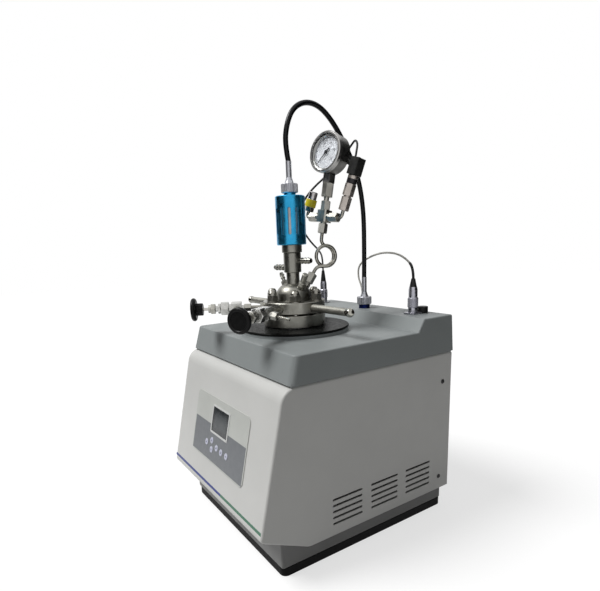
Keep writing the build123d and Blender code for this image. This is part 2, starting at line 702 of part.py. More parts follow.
with BuildPart() as drive_housing:
    turn(Plane.XY, [*ring_outline(drum_radius - drum_wall, drum_radius, drum_bottom, drum_top, 1.2)[:-1],
                    (drum_neck_radius, drum_top), (drum_neck_radius, drum_nut_bottom),
                    (thread_radius, drum_nut_bottom), (thread_radius, drum_nut_bottom + thread_height),
                    (shaft_radius + run_gap, drum_nut_bottom + thread_height),
                    (shaft_radius + run_gap, drum_top - drum_top_wall),
                    (drum_radius - drum_wall, drum_top - drum_top_wall)])
    slot_middle = drum_bottom + slot_bottom + slot_length / 2
    for number in range(slot_count):
        slot_plane = radial_plane(slot_turn + 360 / slot_count * number, slot_middle)
        with BuildSketch(slot_plane.offset(drum_radius - drum_wall - 0.5)):
            SlotOverall(slot_length, slot_width, rotation=90)
        extrude(amount=drum_wall + 1, mode=Mode.SUBTRACT)

motor_plane = Plane(origin=(motor_x, motor_y, 0), x_dir=(1, 0, 0), z_dir=(0, 0, 1))
drum_nut = knurled_nut(Plane.XY, drum_nut_bottom, drum_nut_top)
motor_nut = knurled_nut(motor_plane, outlet_nut_bottom, outlet_nut_top)
with BuildPart() as ferrule_nuts:
    add(drum_nut)
    add(motor_nut)

upper_sleeve_end = drum_nut_top + sleeve_length
lower_sleeve_end = outlet_nut_top + outlet_sleeve_length
upper_sleeve = flared_sleeve(Plane.XY, drum_nut_bottom, drum_nut_top, upper_sleeve_end)
lower_sleeve = flared_sleeve(motor_plane, outlet_nut_bottom, outlet_nut_top, lower_sleeve_end)
with BuildPart() as shaft_ferrules:
    add(upper_sleeve)
    add(lower_sleeve)

# ---------------------------------------------------------------- motor and its outlet
with BuildPart() as motor:
    deck_underside = deck_top - cover_wall
    turn(motor_plane, [(shaft_radius + run_gap, motor_bottom + 20), (shaft_radius + run_gap, deck_underside),
                       (motor_boss_radius, deck_underside), (motor_boss_radius, motor_top),
                       (motor_radius - 1, motor_top), (motor_radius, motor_top - 1),
                       (motor_radius, motor_bottom + 1), (motor_radius - 1, motor_bottom),
                       (0, motor_bottom), (0, motor_bottom + 20)])
    with BuildSketch(motor_plane.offset(motor_bottom + 12)):
        Circle(motor_radius)
        Circle(motor_radius - 1, mode=Mode.SUBTRACT)
    extrude(amount=4, mode=Mode.SUBTRACT)

with BuildPart() as motor_shaft:
    bar(motor_plane, shaft_radius, motor_bottom + 21, outlet_nut_bottom + thread_height - 1)

with BuildPart() as outlet_ring:
    turn(motor_plane, [(shaft_radius + run_gap, deck_underside), (thread_radius, deck_underside),
                       (thread_radius, deck_top), (outlet_radius, deck_top),
                       (outlet_radius, outlet_nut_bottom - 0.8),
                       (outlet_radius - 0.8, outlet_nut_bottom), (thread_radius, outlet_nut_bottom),
                       (thread_radius, outlet_nut_bottom + thread_height),
                       (shaft_radius + run_gap, outlet_nut_bottom + thread_height)])

# ---------------------------------------------------------------- dome ports
siphon_nut = tube_nut(siphon_plane, fitting_flats, siphon_nut_start, siphon_nut_end,
                      cross_spigot, siphon_nut_start + nut_grip, tube_radius)
with BuildPart() as thermowell:
    add(hex_bar(thermowell_plane, 12, port_boss_height, port_boss_height + 7))
    turn(thermowell_plane, [(0, port_boss_height + 7), (5, port_boss_height + 7),
                            (5, 30), (4.2, 31), (0, 31)])
    bar(thermowell_plane, cross_spigot / 2 - run_gap, 2, port_boss_height)

with BuildPart() as gas_nipple:
    add(hex_bar(gas_plane, 12, port_boss_height, port_boss_height + 6))
    turn(gas_plane, [(0, port_boss_height + 6), (3.2, port_boss_height + 6), (3.2, 19), (4.3, 20.5),
                     (3.2, 24), (4.3, 25.5), (3.0, 31), (0, 31)])
    bar(gas_plane, cross_spigot / 2 - run_gap, 2, port_boss_height)
    bar(gas_plane, 1.5, 16, 31, mode=Mode.SUBTRACT)

# ---------------------------------------------------------------- needle valves
valve_planes = {side: radial_plane(azimuth, bar_height) for side, azimuth in valve_azimuths.items()}


def outlet_plane(plane):
    """Plane along a valve's side outlet, square to the valve and sloping down."""
    slope = radians(outlet_slope)
    middle = plane.from_local_coords((0, 0, (block_start + block_end) / 2))
    return Plane(origin=middle, x_dir=plane.z_dir,
                 z_dir=plane.x_dir * cos(slope) - plane.y_dir * sin(slope))


def valve_body(plane):
    """Bar-stock needle valve with its bonnet, bored for the stem and drilled to the outlet."""
    spigot_end = waist_end + 5
    outlet = outlet_plane(plane)
    with BuildPart() as body:
        bar(plane, valve_neck_radius, valve_nut[1] - nut_grip, block_start)
        slab(plane, block_size, block_size, block_start, block_end)
        chamfer(body.edges().filter_by(Axis(plane.origin, plane.z_dir)), 1.5)
        turn(plane, [(0, block_end), (thread_start_radius, block_end),
                     (thread_start_radius, bonnet_start), (0, bonnet_start)])
        add(hex_bar(plane, bonnet_flats, bonnet_start, bonnet_end))
        turn(plane, [(0, bonnet_end), (ring_radius - 1, bonnet_end), (ring_radius, bonnet_end + 1.2),
                     (ring_radius, ring_end), (waist_radius, ring_end), (waist_radius, waist_end),
                     (waist_radius - 0.6, waist_end), (waist_radius - 0.6, spigot_end),
                     (0, spigot_end)])
        bar(outlet, valve_neck_radius, 0, outlet_nut[0] + nut_grip - 0.2)
        bar(plane, stem_radius + run_gap, stem_start - 0.5, spigot_end, mode=Mode.SUBTRACT)
    return body.part


left_body = valve_body(valve_planes["left"])
right_body = valve_body(valve_planes["right"])
with BuildPart() as valve_bodies:
    add(left_body)
    add(right_body)


def packing_nut(plane):
    """Gland nut on a bonnet's end, with the stem through it."""
    with BuildPart() as nut:
        add(hex_bar(plane, packing_flats, waist_end, packing_end))
        bar(plane, packing_collar_radius, packing_end, packing_collar_end)
        bar(plane, waist_radius - 0.6 + run_gap, waist_end, waist_end + 5.2, mode=Mode.SUBTRACT)
        bar(plane, stem_radius + run_gap, waist_end, packing_collar_end, mode=Mode.SUBTRACT)
    return nut.part


def valve_stem(plane):
    """Plain stem from the seat to the knob, pointed at the seat."""
    with BuildPart() as stem:
        turn(plane, [(0, stem_start), (stem_radius, stem_start + 3), (stem_radius, hub_end - 1.5),
                     (0, hub_end - 1.5)])
    return stem.part


def valve_knob(plane):
    """Round knob with a fluted hub, a rounded rim and a dished face."""
    rim = (knob_end - hub_end) / 2
    with BuildPart() as knob:
        turn(plane, [(0, hub_start), (knob_hub_radius - 1, hub_start),
                     (knob_hub_radius, hub_start + 1), (knob_hub_radius, hub_end), (0, hub_end)])
        with BuildSketch(plane.offset(hub_start)):
            with PolarLocations(knob_hub_radius + flute_radius * 0.35, flute_count):
                Circle(flute_radius)
        extrude(amount=hub_end - hub_start, mode=Mode.SUBTRACT)
        with BuildSketch(outline_plane(plane)):
            with BuildLine():
                Polyline((knob_radius - rim, hub_end), (0, hub_end), (0, knob_end - knob_recess),
                         (knob_radius - rim - 1.5, knob_end - knob_recess),
                         (knob_radius - rim, knob_end))
                ThreePointArc((knob_radius - rim, knob_end), (knob_radius, hub_end + rim),
                              (knob_radius - rim, hub_end))
            make_face()
        revolve(axis=Axis(plane.origin, plane.z_dir))
        bar(plane, stem_radius + run_gap, hub_start, hub_end - 1, mode=Mode.SUBTRACT)
    return knob.part


stem_parts = {side: valve_stem(plane) for side, plane in valve_planes.items()}
knob_parts = {side: valve_knob(plane) for side, plane in valve_planes.items()}
with BuildPart() as valve_stem_left:
    add(stem_parts["left"])
with BuildPart() as valve_stem_right:
    add(stem_parts["right"])
with BuildPart() as knob_left:
    add(knob_parts["left"])
with BuildPart() as knob_right:
    add(knob_parts["right"])

# ---------------------------------------------------------------- gauge manifold
lean, lean_turn, face_turn = radians(manifold_lean), radians(siphon_azimuth), radians(manifold_turn)
manifold_up = Vector(sin(lean) * cos(lean_turn), sin(lean) * sin(lean_turn), cos(lean))
manifold_side = Vector(cos(face_turn), sin(face_turn),
                       -sin(lean) / cos(lean) * cos(face_turn - lean_turn))
manifold = Plane(origin=manifold_origin, x_dir=manifold_side, z_dir=manifold_up)


def manifold_plane(place, direction, across=(0, 1, 0)):
    """Plane at a place of the manifold's frame, with its z axis along a direction of that frame."""
    origin = manifold.from_local_coords(place)
    tip = manifold.from_local_coords(Vector(place) + Vector(direction))
    side = manifold.from_local_coords(Vector(place) + Vector(across))
    return Plane(origin=origin, x_dir=side - origin, z_dir=tip - origin)


branch = radians(branch_lean)
branch_axis = (sin(branch), 0, cos(branch))
down_plane = manifold_plane((0, 0, 0), (0, 0, -1))
right_plane = manifold_plane((0, 0, -side_drop), (1, 0, 0))
left_plane = manifold_plane((0, 0, -side_drop), (-1, 0, 0))
spigot_reach = 16
side_nut_end = 31.5
with BuildPart() as cross_fitting:
    slab(manifold, 20, cross_depth, -cross_half_height, cross_half_height)
    chamfer(cross_fitting.edges().filter_by(Axis(manifold.origin, manifold.z_dir)), 2)
    bar(left_plane, 7.5, -cross_half_width, cross_half_width)
    for plane, reach in ((manifold, 18), (down_plane, spigot_reach),
                         (left_plane, 22), (right_plane, 22)):
        bar(plane, cross_spigot, 0, reach)

cross_nuts = [
    tube_nut(down_plane, fitting_flats, 11.9, 28.1, cross_spigot, spigot_reach + 0.2, tube_radius),
    tube_nut(manifold, fitting_flats, 10.1, 25.3, cross_spigot, 18.2, valve_neck_radius),
    tube_nut(left_plane, fitting_flats, cross_half_width, side_nut_end, cross_spigot, 22.2, tube_radius),
    tube_nut(right_plane, fitting_flats, cross_half_width, side_nut_end, cross_spigot, 22.2, tube_radius),
]
valve_nuts = []
for plane in valve_planes.values():
    outlet = outlet_plane(plane)
    facing = Plane(origin=plane.from_local_coords((0, 0, valve_nut[1])), x_dir=plane.x_dir,
                   z_dir=-plane.z_dir)
    valve_nuts.append(tube_nut(facing, valve_nut_flats, 0, valve_nut[1] - valve_nut[0],
                               valve_neck_radius, nut_grip + 0.2, tube_radius))
    valve_nuts.append(tube_nut(outlet, valve_nut_flats, outlet_nut[0], outlet_nut[1],
                               valve_neck_radius, outlet_nut[0] + nut_grip, outlet_shank_radius))
    valve_nuts.append(packing_nut(plane))
with BuildPart() as fitting_nuts:
    for nut in [siphon_nut, *cross_nuts, *valve_nuts]:
        add(nut)

adaptor_thread = 6
gauge_thread = 5
with BuildPart() as gauge_adaptor:
    bar(manifold, valve_neck_radius, 18.2, adaptor_start)
    add(hex_bar(manifold, adaptor_flats, adaptor_start, adaptor_end))
    bar(manifold, gauge_thread + run_gap, adaptor_end - adaptor_thread, adaptor_end, mode=Mode.SUBTRACT)

# the gauge faces -y of the manifold; its own plane has z towards the viewer
gauge_plane = manifold_plane((0, 0, gauge_centre), (0, -1, 0), across=(1, 0, 0))
with BuildPart() as gauge_case:
    turn(gauge_plane, [(0, -gauge_back), (gauge_radius - 2, -gauge_back),
                       (gauge_radius, -gauge_back + 2), (gauge_radius, -gauge_front),
                       (gauge_radius - gauge_wall, -gauge_front),
                       (gauge_radius - gauge_wall, -gauge_back + gauge_wall),
                       (0, -gauge_back + gauge_wall)])
    stem_top = gauge_centre - gauge_radius + 2
    slab(manifold, gauge_stem, gauge_stem, adaptor_end, stem_top)
    bar(manifold, gauge_thread, adaptor_end - adaptor_thread + 0.5, adaptor_end)

glass_back = -bezel_front - 1.5
with BuildPart() as gauge_bezel:
    turn(gauge_plane, [(gauge_radius - 1, -gauge_front), (bezel_radius, -gauge_front),
                       (bezel_radius, -bezel_front - 1.5), (bezel_radius - 1.5, -bezel_front),
                       (dial_radius - 1.6, -bezel_front), (dial_radius - 1.6, glass_back),
                       (gauge_radius - 1, glass_back)])

with BuildPart() as gauge_glass:
    bar(gauge_plane, gauge_radius - 1 - fit_gap, glass_back - 2, glass_back)

arbor_radius = 1
with BuildPart() as gauge_dial:
    turn(gauge_plane, [(arbor_radius + run_gap, -gauge_front), (dial_radius, -gauge_front),
                       (dial_radius, -gauge_front + dial_thickness),
                       (arbor_radius + run_gap, -gauge_front + dial_thickness)])

pointer_level = -gauge_front + dial_thickness + 1.4
pointer_rest = 225
pointer_tip, pointer_tail = 24, 9
with BuildPart() as gauge_pointer:
    bar(gauge_plane, arbor_radius, -gauge_front - 6, pointer_level)
    bar(gauge_plane, 3, pointer_level, pointer_level + 1.4)
    with BuildSketch(gauge_plane.offset(pointer_level)):
        with Locations(Location((0, 0), pointer_rest)):
            Polygon((-pointer_tail, -1.2), (pointer_tip, -0.35), (pointer_tip, 0.35),
                    (-pointer_tail, 1.2), align=None)
    extrude(amount=0.6)

relief_plane = manifold_plane((relief_x, 0, 8.2), branch_axis)
with BuildPart() as relief_valve:
    add(hex_bar(relief_plane, 14.5, 0, 7.8))
    turn(relief_plane, [(0, 7.8), (9.2, 7.8), (9.2, 20.6), (7.5, 20.6), (7.5, 32.5), (6.5, 33.5),
                        (3, 33.5), (3, 30), (0, 30)])
    bar(relief_plane, tube_radius + run_gap, 0, 5, mode=Mode.SUBTRACT)

sensor_plane = manifold_plane((sensor_x, 0, 0), branch_axis)
with BuildPart() as transducer:
    add(hex_bar(sensor_plane, 15, 9.6, 31.6))
    turn(sensor_plane, [(0, 31.6), (6.2, 31.6), (6.2, 33), (0, 33)])
    add(hex_bar(sensor_plane, 16, 33, 52.6))
    turn(sensor_plane, [(0, 52.6), *ring_outline(0, 8.5, 52.6, 65.9, 0.8)[1:-1], (0, 65.9)])
    bar(sensor_plane, tube_radius + run_gap, 9.6, 15, mode=Mode.SUBTRACT)

plug_start, plug_end = 65.9, 92.5
plug_width, plug_depth = 17, 20
cord_gland_tip = (38.5, 0, 84.3)
with BuildPart() as transducer_plug:
    slab(sensor_plane, plug_depth, plug_width, plug_start, plug_end, corner=2)
    gland_plane = manifold_plane(cord_gland_tip, (1, 0, 0))
    turn(gland_plane, [(0, 0), (2.6, 0), (4.4, 1.5), (5, 5), (5, 12), (0, 12)])
    bar(sensor_plane, 3, plug_end, plug_end + 1.2)

# ---------------------------------------------------------------- small tubes
tube_bend = 5


def pipe(points, radii, outer):
    """Solid tube along straight runs joined by tangent arcs."""
    with BuildPart() as tube:
        with BuildLine() as path:
            FilletPolyline(*points, radius=radii)
        with BuildSketch(Plane(origin=path.line @ 0, z_dir=path.line % 0)):
            Circle(outer)
        sweep()
    return tube.part


def siphon_point(radius, height, aside=0):
    """Point of the siphon's upright plane, pushed aside square to it."""
    turned = radians(siphon_azimuth)
    return (radius * cos(turned) - aside * sin(turned), radius * sin(turned) + aside * cos(turned),
            height)


loop_centre = (61.4, 455.1)
loop_radius = 17.3
loop_turn = 530              # one turn and a half, leaving over the top
loop_corners = 18
loop_shift = 10              # the turns of the loop lie side by side
loop_easing = 0.9            # share of the loop's radius that each corner is rounded by
rise_corner = (44.7, 437.8)  # where the pipe levels out of the port
leave_corner = (53.0, 474.1)  # where it turns up into the fitting
siphon_points = [siphon_plane.from_local_coords((0, 0, siphon_nut_start + nut_grip)),
                 siphon_point(*rise_corner)]
loop_step = loop_turn / loop_corners
for number in range(loop_corners):
    angle = radians(-90 + loop_step * (number + 0.5))
    reach = loop_radius / cos(radians(loop_step / 2))
    siphon_points.append(siphon_point(loop_centre[0] + reach * cos(angle),
                                      loop_centre[1] + reach * sin(angle),
                                      loop_shift * (number / (loop_corners - 1) - 0.5)))
siphon_points.append(siphon_point(*leave_corner))
siphon_points.append(down_plane.from_local_coords((0, 0, spigot_reach + 0.3)))
siphon_pipe = pipe(siphon_points, [12, *[loop_radius * loop_easing] * loop_corners, 10.5], tube_radius)

pipe_start = 22.3            # where the side pipes start inside their nuts
relief_foot = relief_x - (8.2 + side_drop) * tan(branch)
sensor_foot = sensor_x - side_drop * tan(branch)
elbow_pipes = []
for start, foot, plane, reach in ((-pipe_start, relief_foot, relief_plane, 4.8),
                                  (pipe_start, sensor_foot, sensor_plane, 14.8)):
    elbow = [manifold.from_local_coords((start, 0, -side_drop)),
             manifold.from_local_coords((foot, 0, -side_drop)),
             plane.from_local_coords((0, 0, reach))]
    elbow_pipes.append(pipe(elbow, tube_bend, tube_radius))

with BuildPart() as process_tubes:
    for tube in [siphon_pipe, *elbow_pipes]:
        add(tube)
    for plane in valve_planes.values():
        bar(plane, tube_radius, flange_radius - 5.8, valve_nut[1] - nut_grip - 0.2)
        outlet = outlet_plane(plane)
        bar(outlet, outlet_shank_radius, outlet_nut[0] + nut_grip,
            outlet_nut[1] + outlet_shoulder)
        bar(outlet, outlet_tube_radius, outlet_nut[1] + outlet_shoulder, outlet_reach)
        bar(outlet, outlet_tube_bore, outlet_nut[1] + outlet_shoulder, outlet_reach,
            mode=Mode.SUBTRACT)

# ---------------------------------------------------------------- rear deck connectors
def deck_plane(place):
    """Plane on the rear deck at a place."""
    return Plane(origin=(place[0], place[1], deck_top), x_dir=(1, 0, 0), z_dir=(0, 0, 1))


signal_plane, sensor_deck_plane = deck_plane(signal_socket), deck_plane(sensor_socket)
signal_height, sensor_height = 46.4, 45.3
signal_boot_height, sensor_boot_height = 13.9, 22.5
cable_radius = 1.8
with BuildPart() as deck_connectors:
    for plane, square, shell, height in ((signal_plane, 23, 9, signal_height),
                                         (sensor_deck_plane, 20, 8.3, sensor_height)):
        slab(plane, square, square, 0, 2.4, corner=2)
        bar(plane, thread_radius, -cover_wall, 0)
        turn(plane, [(0, 2.4), (shell - 1, 2.4), (shell - 1, 11), (shell, 12), (shell, 27),
                     (shell - 1.4, 28.5), (shell - 1.4, height - 5), (shell - 2.4, height),
                     (0, height)])
        with BuildSketch(plane.offset(12)):
            with PolarLocations(shell, 20):
                Rectangle(0.9, 0.9, rotation=45)
        extrude(amount=15, mode=Mode.SUBTRACT)

with BuildPart() as cable_boots:
    turn(signal_plane, [(0, signal_height), (6.2, signal_height), (5.6, signal_height + 3),
                        (3.4, signal_height + signal_boot_height),
                        (0, signal_height + signal_boot_height)])
    turn(sensor_deck_plane, [(0, sensor_height), (5.6, sensor_height), (5.0, sensor_height + 6),
                             (2.8, sensor_height + sensor_boot_height),
                             (0, sensor_height + sensor_boot_height)])
    gland_deck_plane = deck_plane(gland_place)
    turn(gland_deck_plane, [(0, -cover_wall), (2.4, -cover_wall), (2.4, 0), (7.5, 0), (7.5, 5),
                            (6, 6), (6, 12), (2.8, 19.8), (0, 19.8)])

with BuildPart() as dust_cap:
    turn(deck_plane(cap_place), [(0, 9), (7.6, 9), (7.6, 0), (9, 0), (9, 10), (8, 11), (0, 11)])

# ---------------------------------------------------------------- fan and power inlet
fan_plane = Plane(origin=(fan_x, cabinet_rear - sheet, fan_z), x_dir=(1, 0, 0), z_dir=(0, -1, 0))
fan_pin = 2
with BuildPart() as fan_frame:
    slab(fan_plane, fan_size, fan_size, 0, fan_depth, corner=4)
    bar(fan_plane, fan_hole - 0.5, 0, fan_depth, mode=Mode.SUBTRACT)
    bar(fan_plane, fan_hub_radius, 0, 3)
    with BuildSketch(fan_plane):
        with PolarLocations((fan_hub_radius + fan_hole) / 2, 4, start_angle=45):
            Rectangle(fan_hole - fan_hub_radius + 1, 3)
    extrude(amount=3)
    bar(fan_plane, fan_pin + run_gap, 0, 3, mode=Mode.SUBTRACT)

with BuildPart() as fan_rotor:
    bar(fan_plane, fan_pin, 0.5, 4)
    bar(fan_plane, fan_hub_radius - 0.5, 3.6, fan_depth - 2)
    for number in range(fan_blades):
        blade_turn = radians(360 / fan_blades * number)
        along = Vector(cos(blade_turn), 0, sin(blade_turn))
        blade_plane = Plane(origin=fan_plane.from_local_coords((0, 0, fan_depth / 2 + 1)),
                            x_dir=(0, 1, 0), z_dir=along)
        with BuildSketch(blade_plane.offset(fan_hub_radius - 2)):
            Rectangle(19, 1.6, rotation=38)
        extrude(amount=fan_hole - fan_hub_radius)

inlet_plane = Plane(origin=(inlet_x, cabinet_rear, inlet_z), x_dir=(-1, 0, 0), z_dir=(0, 1, 0))
socket_centre, switch_centre = (0, -10), (0, 12.5)
socket_width, socket_height, socket_depth = 24, 16, 18
rocker_width, rocker_radius, rocker_depth, rocker_pin = 19, 6.2, 3.5, 1.5
inlet_gap = 0.3
with BuildPart() as power_inlet:
    slab(inlet_plane, inlet_width, inlet_height, 0, 2, corner=3)
    slab(inlet_plane, inlet_width - 4 - 2 * fit_gap, inlet_height - 4 - 2 * fit_gap, -24, 0)
    slab(inlet_plane, socket_width, socket_height, -socket_depth + 2, 2, corner=3,
         centre=socket_centre, mode=Mode.SUBTRACT)
    with BuildSketch(inlet_plane.offset(-socket_depth + 2)):
        with Locations((socket_centre[0] - 7, socket_centre[1] - 2), (socket_centre[0], socket_centre[1] + 3),
                       (socket_centre[0] + 7, socket_centre[1] - 2)):
            Rectangle(2, 4)
    extrude(amount=11)
    slab(inlet_plane, rocker_width + 2 * inlet_gap, 2 * (rocker_radius + inlet_gap), -12, 2,
         centre=switch_centre, mode=Mode.SUBTRACT)
    rocker_axis = Plane(origin=inlet_plane.from_local_coords((0, switch_centre[1], -rocker_depth)),
                        x_dir=(0, 1, 0), z_dir=(1, 0, 0))
    bar(rocker_axis, rocker_pin + run_gap, -rocker_width / 2 - 2, rocker_width / 2 + 2,
        mode=Mode.SUBTRACT)

rocker_tilt = 10
with BuildPart() as power_switch:
    with BuildSketch(rocker_axis.offset(-rocker_width / 2)) as rocker_section:
        Circle(rocker_radius)
        for tilt, side in ((-rocker_tilt, 1), (-rocker_tilt + 20, -1)):
            with Locations(Location((0, 0), tilt)):
                with Locations((4.5, 0)):
                    Rectangle(6, 20, align=(Align.MIN, Align.MIN if side > 0 else Align.MAX),
                              mode=Mode.SUBTRACT)
    extrude(amount=rocker_width)
    bar(rocker_axis, rocker_pin, -rocker_width / 2 - 1.8, rocker_width / 2 + 1.8)

# ---------------------------------------------------------------- free cords
cord_easing = 0.45           # share of the shorter run that a corner's arc may take


def cord_radii(points):
    """Largest tangent arc that each corner of a cord's route has room for."""
    radii = []
    for before, here, after in zip(points, points[1:], points[2:]):
        run_in, run_out = Vector(here) - Vector(before), Vector(after) - Vector(here)
        half_turn = radians(run_in.get_angle(run_out)) / 2
        radii.append(cord_easing * min(run_in.length, run_out.length) / tan(half_turn))
    return radii


sheath_route = [
    (0, 0, 606.6), (0, -5, 632), (0, -1, 660), (-1, 12, 686), (-3, 37, 700), (-4, 66, 698),
    (-5, 94, 678), (-6, 122, 643), (-7, 151, 596), (-8, 165, 540), (-8, 167, 474), (-8, 166, 411)]
sensor_route = [
    (53.4, 81.1, 601.1), (48.8, 80.8, 601.6), (45.8, 88.8, 601.3), (43.2, 98.1, 604.4),
    (40.7, 106.4, 613), (38, 111, 623.7), (35.7, 115.3, 634.2), (29, 119, 641.5), (20.5, 122, 644),
    (11.5, 122.5, 638.5), (7, 115, 627.5), (1, 104, 611.5), (-15, 91, 593), (-31, 67, 570),
    (-63, 64, 546), (-89, 76, 512), (-103, 109, 481),
    (-119, 144, 461), (-137, 164, 446), (-138, 165, 420)]
signal_route = [
    (-27, 178, 372), (-27, 178, 388), (-41, 179, 408), (-40, 180, 432), (-14, 180, 446),
    (25, 179, 456), (66, 176, 455), (95, 172, 445), (113, 170, 431), (113.7, 169.7, 412.5)]

cord_parts = {}
for name, route, radius in (("drive_sheath", sheath_route, sheath_radius),
                            ("sensor_cable", sensor_route, cable_radius),
                            ("signal_cable", signal_route, cable_radius)):
    radii = cord_radii(route)
    cord = pipe(route, radii, radius)
    length = cord.volume / (pi * radius ** 2)
    print(name, "radii", [round(value, 1) for value in radii], "length", round(length, 1))
    cord_parts[name] = cord

with BuildPart() as drive_sheath:
    add(cord_parts["drive_sheath"])
with BuildPart() as sensor_cable:
    add(cord_parts["sensor_cable"])
with BuildPart() as signal_cable:
    add(cord_parts["signal_cable"])

# ---------------------------------------------------------------- labels and files
pieces = {
    "base_tray": base_tray, "plinth": plinth, "housing": housing, "rear_panel": rear_panel,
    "top_cover": top_cover, "control_panel": control_panel, "display_window": display_window,
    "cabinet_screws": cabinet_screws, "heater_block": heater_block, "insulation": insulation,
    "cover_disc": cover_disc, "motor": motor, "motor_shaft": motor_shaft,
    "control_board": control_board, "fan_frame": fan_frame, "fan_rotor": fan_rotor,
    "power_inlet": power_inlet, "power_switch": power_switch, "outlet_ring": outlet_ring,
    "vessel": vessel, "gasket": gasket, "reactor_head": reactor_head, "head_studs": head_studs,
    "head_nuts": head_nuts, "lift_bars": lift_bars, "cooling_jacket": cooling_jacket,
    "isolation_can": isolation_can, "shaft_bushes": shaft_bushes, "stirrer_shaft": stirrer_shaft,
    "inner_rotor": inner_rotor, "outer_rotor": outer_rotor, "drive_housing": drive_housing,
    "ferrule_nuts": ferrule_nuts, "shaft_ferrules": shaft_ferrules, "drive_sheath": drive_sheath,
    "gas_nipple": gas_nipple, "thermowell": thermowell, "process_tubes": process_tubes,
    "cross_fitting": cross_fitting, "fitting_nuts": fitting_nuts, "gauge_adaptor": gauge_adaptor,
    "gauge_case": gauge_case, "gauge_bezel": gauge_bezel, "gauge_glass": gauge_glass,
    "gauge_dial": gauge_dial, "gauge_pointer": gauge_pointer, "relief_valve": relief_valve,
    "transducer": transducer, "transducer_plug": transducer_plug, "sensor_cable": sensor_cable,
    "signal_cable": signal_cable, "deck_connectors": deck_connectors, "cable_boots": cable_boots,
    "dust_cap": dust_cap, "valve_bodies": valve_bodies, "valve_stem_left": valve_stem_left,
    "valve_stem_right": valve_stem_right, "knob_left": knob_left, "knob_right": knob_right}

os.makedirs("parts", exist_ok=True)
for name, piece in pieces.items():
    piece.part.label = name
    export_step(piece.part, f"parts/{name}.step")
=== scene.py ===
import bpy
import json
import numpy as np
from math import cos, pi, radians, sin
from mathutils import Euler, Matrix, Vector


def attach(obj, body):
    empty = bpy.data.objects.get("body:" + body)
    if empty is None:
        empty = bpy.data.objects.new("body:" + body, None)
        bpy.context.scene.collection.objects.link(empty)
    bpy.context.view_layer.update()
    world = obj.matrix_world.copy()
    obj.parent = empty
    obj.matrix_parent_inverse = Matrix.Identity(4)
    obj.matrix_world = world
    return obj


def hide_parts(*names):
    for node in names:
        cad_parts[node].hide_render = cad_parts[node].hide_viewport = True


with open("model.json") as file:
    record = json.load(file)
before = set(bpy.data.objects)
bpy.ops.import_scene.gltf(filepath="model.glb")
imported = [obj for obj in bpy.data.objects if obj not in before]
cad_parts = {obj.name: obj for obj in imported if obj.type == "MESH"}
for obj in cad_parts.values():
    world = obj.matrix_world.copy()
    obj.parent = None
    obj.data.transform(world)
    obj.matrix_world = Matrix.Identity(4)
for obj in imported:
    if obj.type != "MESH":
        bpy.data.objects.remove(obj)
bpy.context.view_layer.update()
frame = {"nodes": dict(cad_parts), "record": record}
nodes = frame["nodes"]
slots = {entry["node"]: entry["material_slot"] for entry in frame["record"]["subparts"]}

# ---------------------------------------------------------------- places on the reactor, metres
# the fascia's lower edge, its way up and its way outwards; it leans back from upright
FASCIA = Vector((0, -0.1794, 0.0774))
FASCIA_LEAN = radians(12.646)
FASCIA_UP = Vector((0, sin(FASCIA_LEAN), cos(FASCIA_LEAN)))
FASCIA_OUT = Vector((0, -FASCIA_UP.z, FASCIA_UP.y))
FASCIA_ACROSS = Vector((1, 0, 0))

# printed areas of the fascia: from and to across it, then from and to up it
GREY_FIELD = (-0.0947, 0.0961), (0.0524, 0.1122)
DISPLAY_FRAME = (-0.0306, 0.0339), (0.0991, 0.1470)
DISPLAY_MIDDLE = (-0.0205, 0.0238), (0.1098, 0.1363)
LINE_RISE = 0.0101, 0.0147
LINE_START, LINE_MEETING, LINE_END = -0.1695, 0.033, 0.1665
LINE_THICKNESS = 0.00012
# the keys' centres, across the fascia and up it
KEYS = [(-0.0391, 0.0784), (-0.0199, 0.0865), (-0.0181, 0.0714), (0.0003, 0.0794),
        (0.0179, 0.0780), (0.0371, 0.0782)]
KEY_RADIUS, CAP_RADIUS = 0.0055, 0.0042
KEY_FACE = 0.0019            # how far a key's top stands out from the fascia
CAP_HEIGHT, SIGN_HEIGHT = 0.00005, 0.00004
PRINT_SINK = 0.00002         # how deep a print starts under the face that it is on
PRINT_EDGE = 0.0002          # half of the width over which a printed area fades

# the manifold's cross, with its own right, back and up directions
CROSS = Vector((0.0127, 0.0597, 0.5206))
CROSS_RIGHT = Vector((0.9794, 0.19038, -0.06734))
CROSS_BACK = Vector((-0.19881, 0.96749, -0.15632))
CROSS_UP = Vector((0.03539, 0.16649, 0.98541))
# the relief valve and the transducer lean the same way, and the gauge stands over the cross
BRANCH_LEAN = radians(12.4)
BRANCH = CROSS_RIGHT * sin(BRANCH_LEAN) + CROSS_UP * cos(BRANCH_LEAN)
RELIEF_REACH, RELIEF_RISE = 0.0385, 0.0082
RELIEF = CROSS - RELIEF_REACH * CROSS_RIGHT + RELIEF_RISE * CROSS_UP
SENSOR_REACH = 0.0382
SENSOR = CROSS + SENSOR_REACH * CROSS_RIGHT
SENSOR_RING = 0.0526, 0.0602
GAUGE_RISE = 0.1001
GAUGE = CROSS + GAUGE_RISE * CROSS_UP

# the gauge, from its centre: the bezel's back edge, the printed side of the dial, the stem's top
BEZEL_BACK, DIAL_FACE, STEM_TOP = 0.0120, 0.013, -0.0325
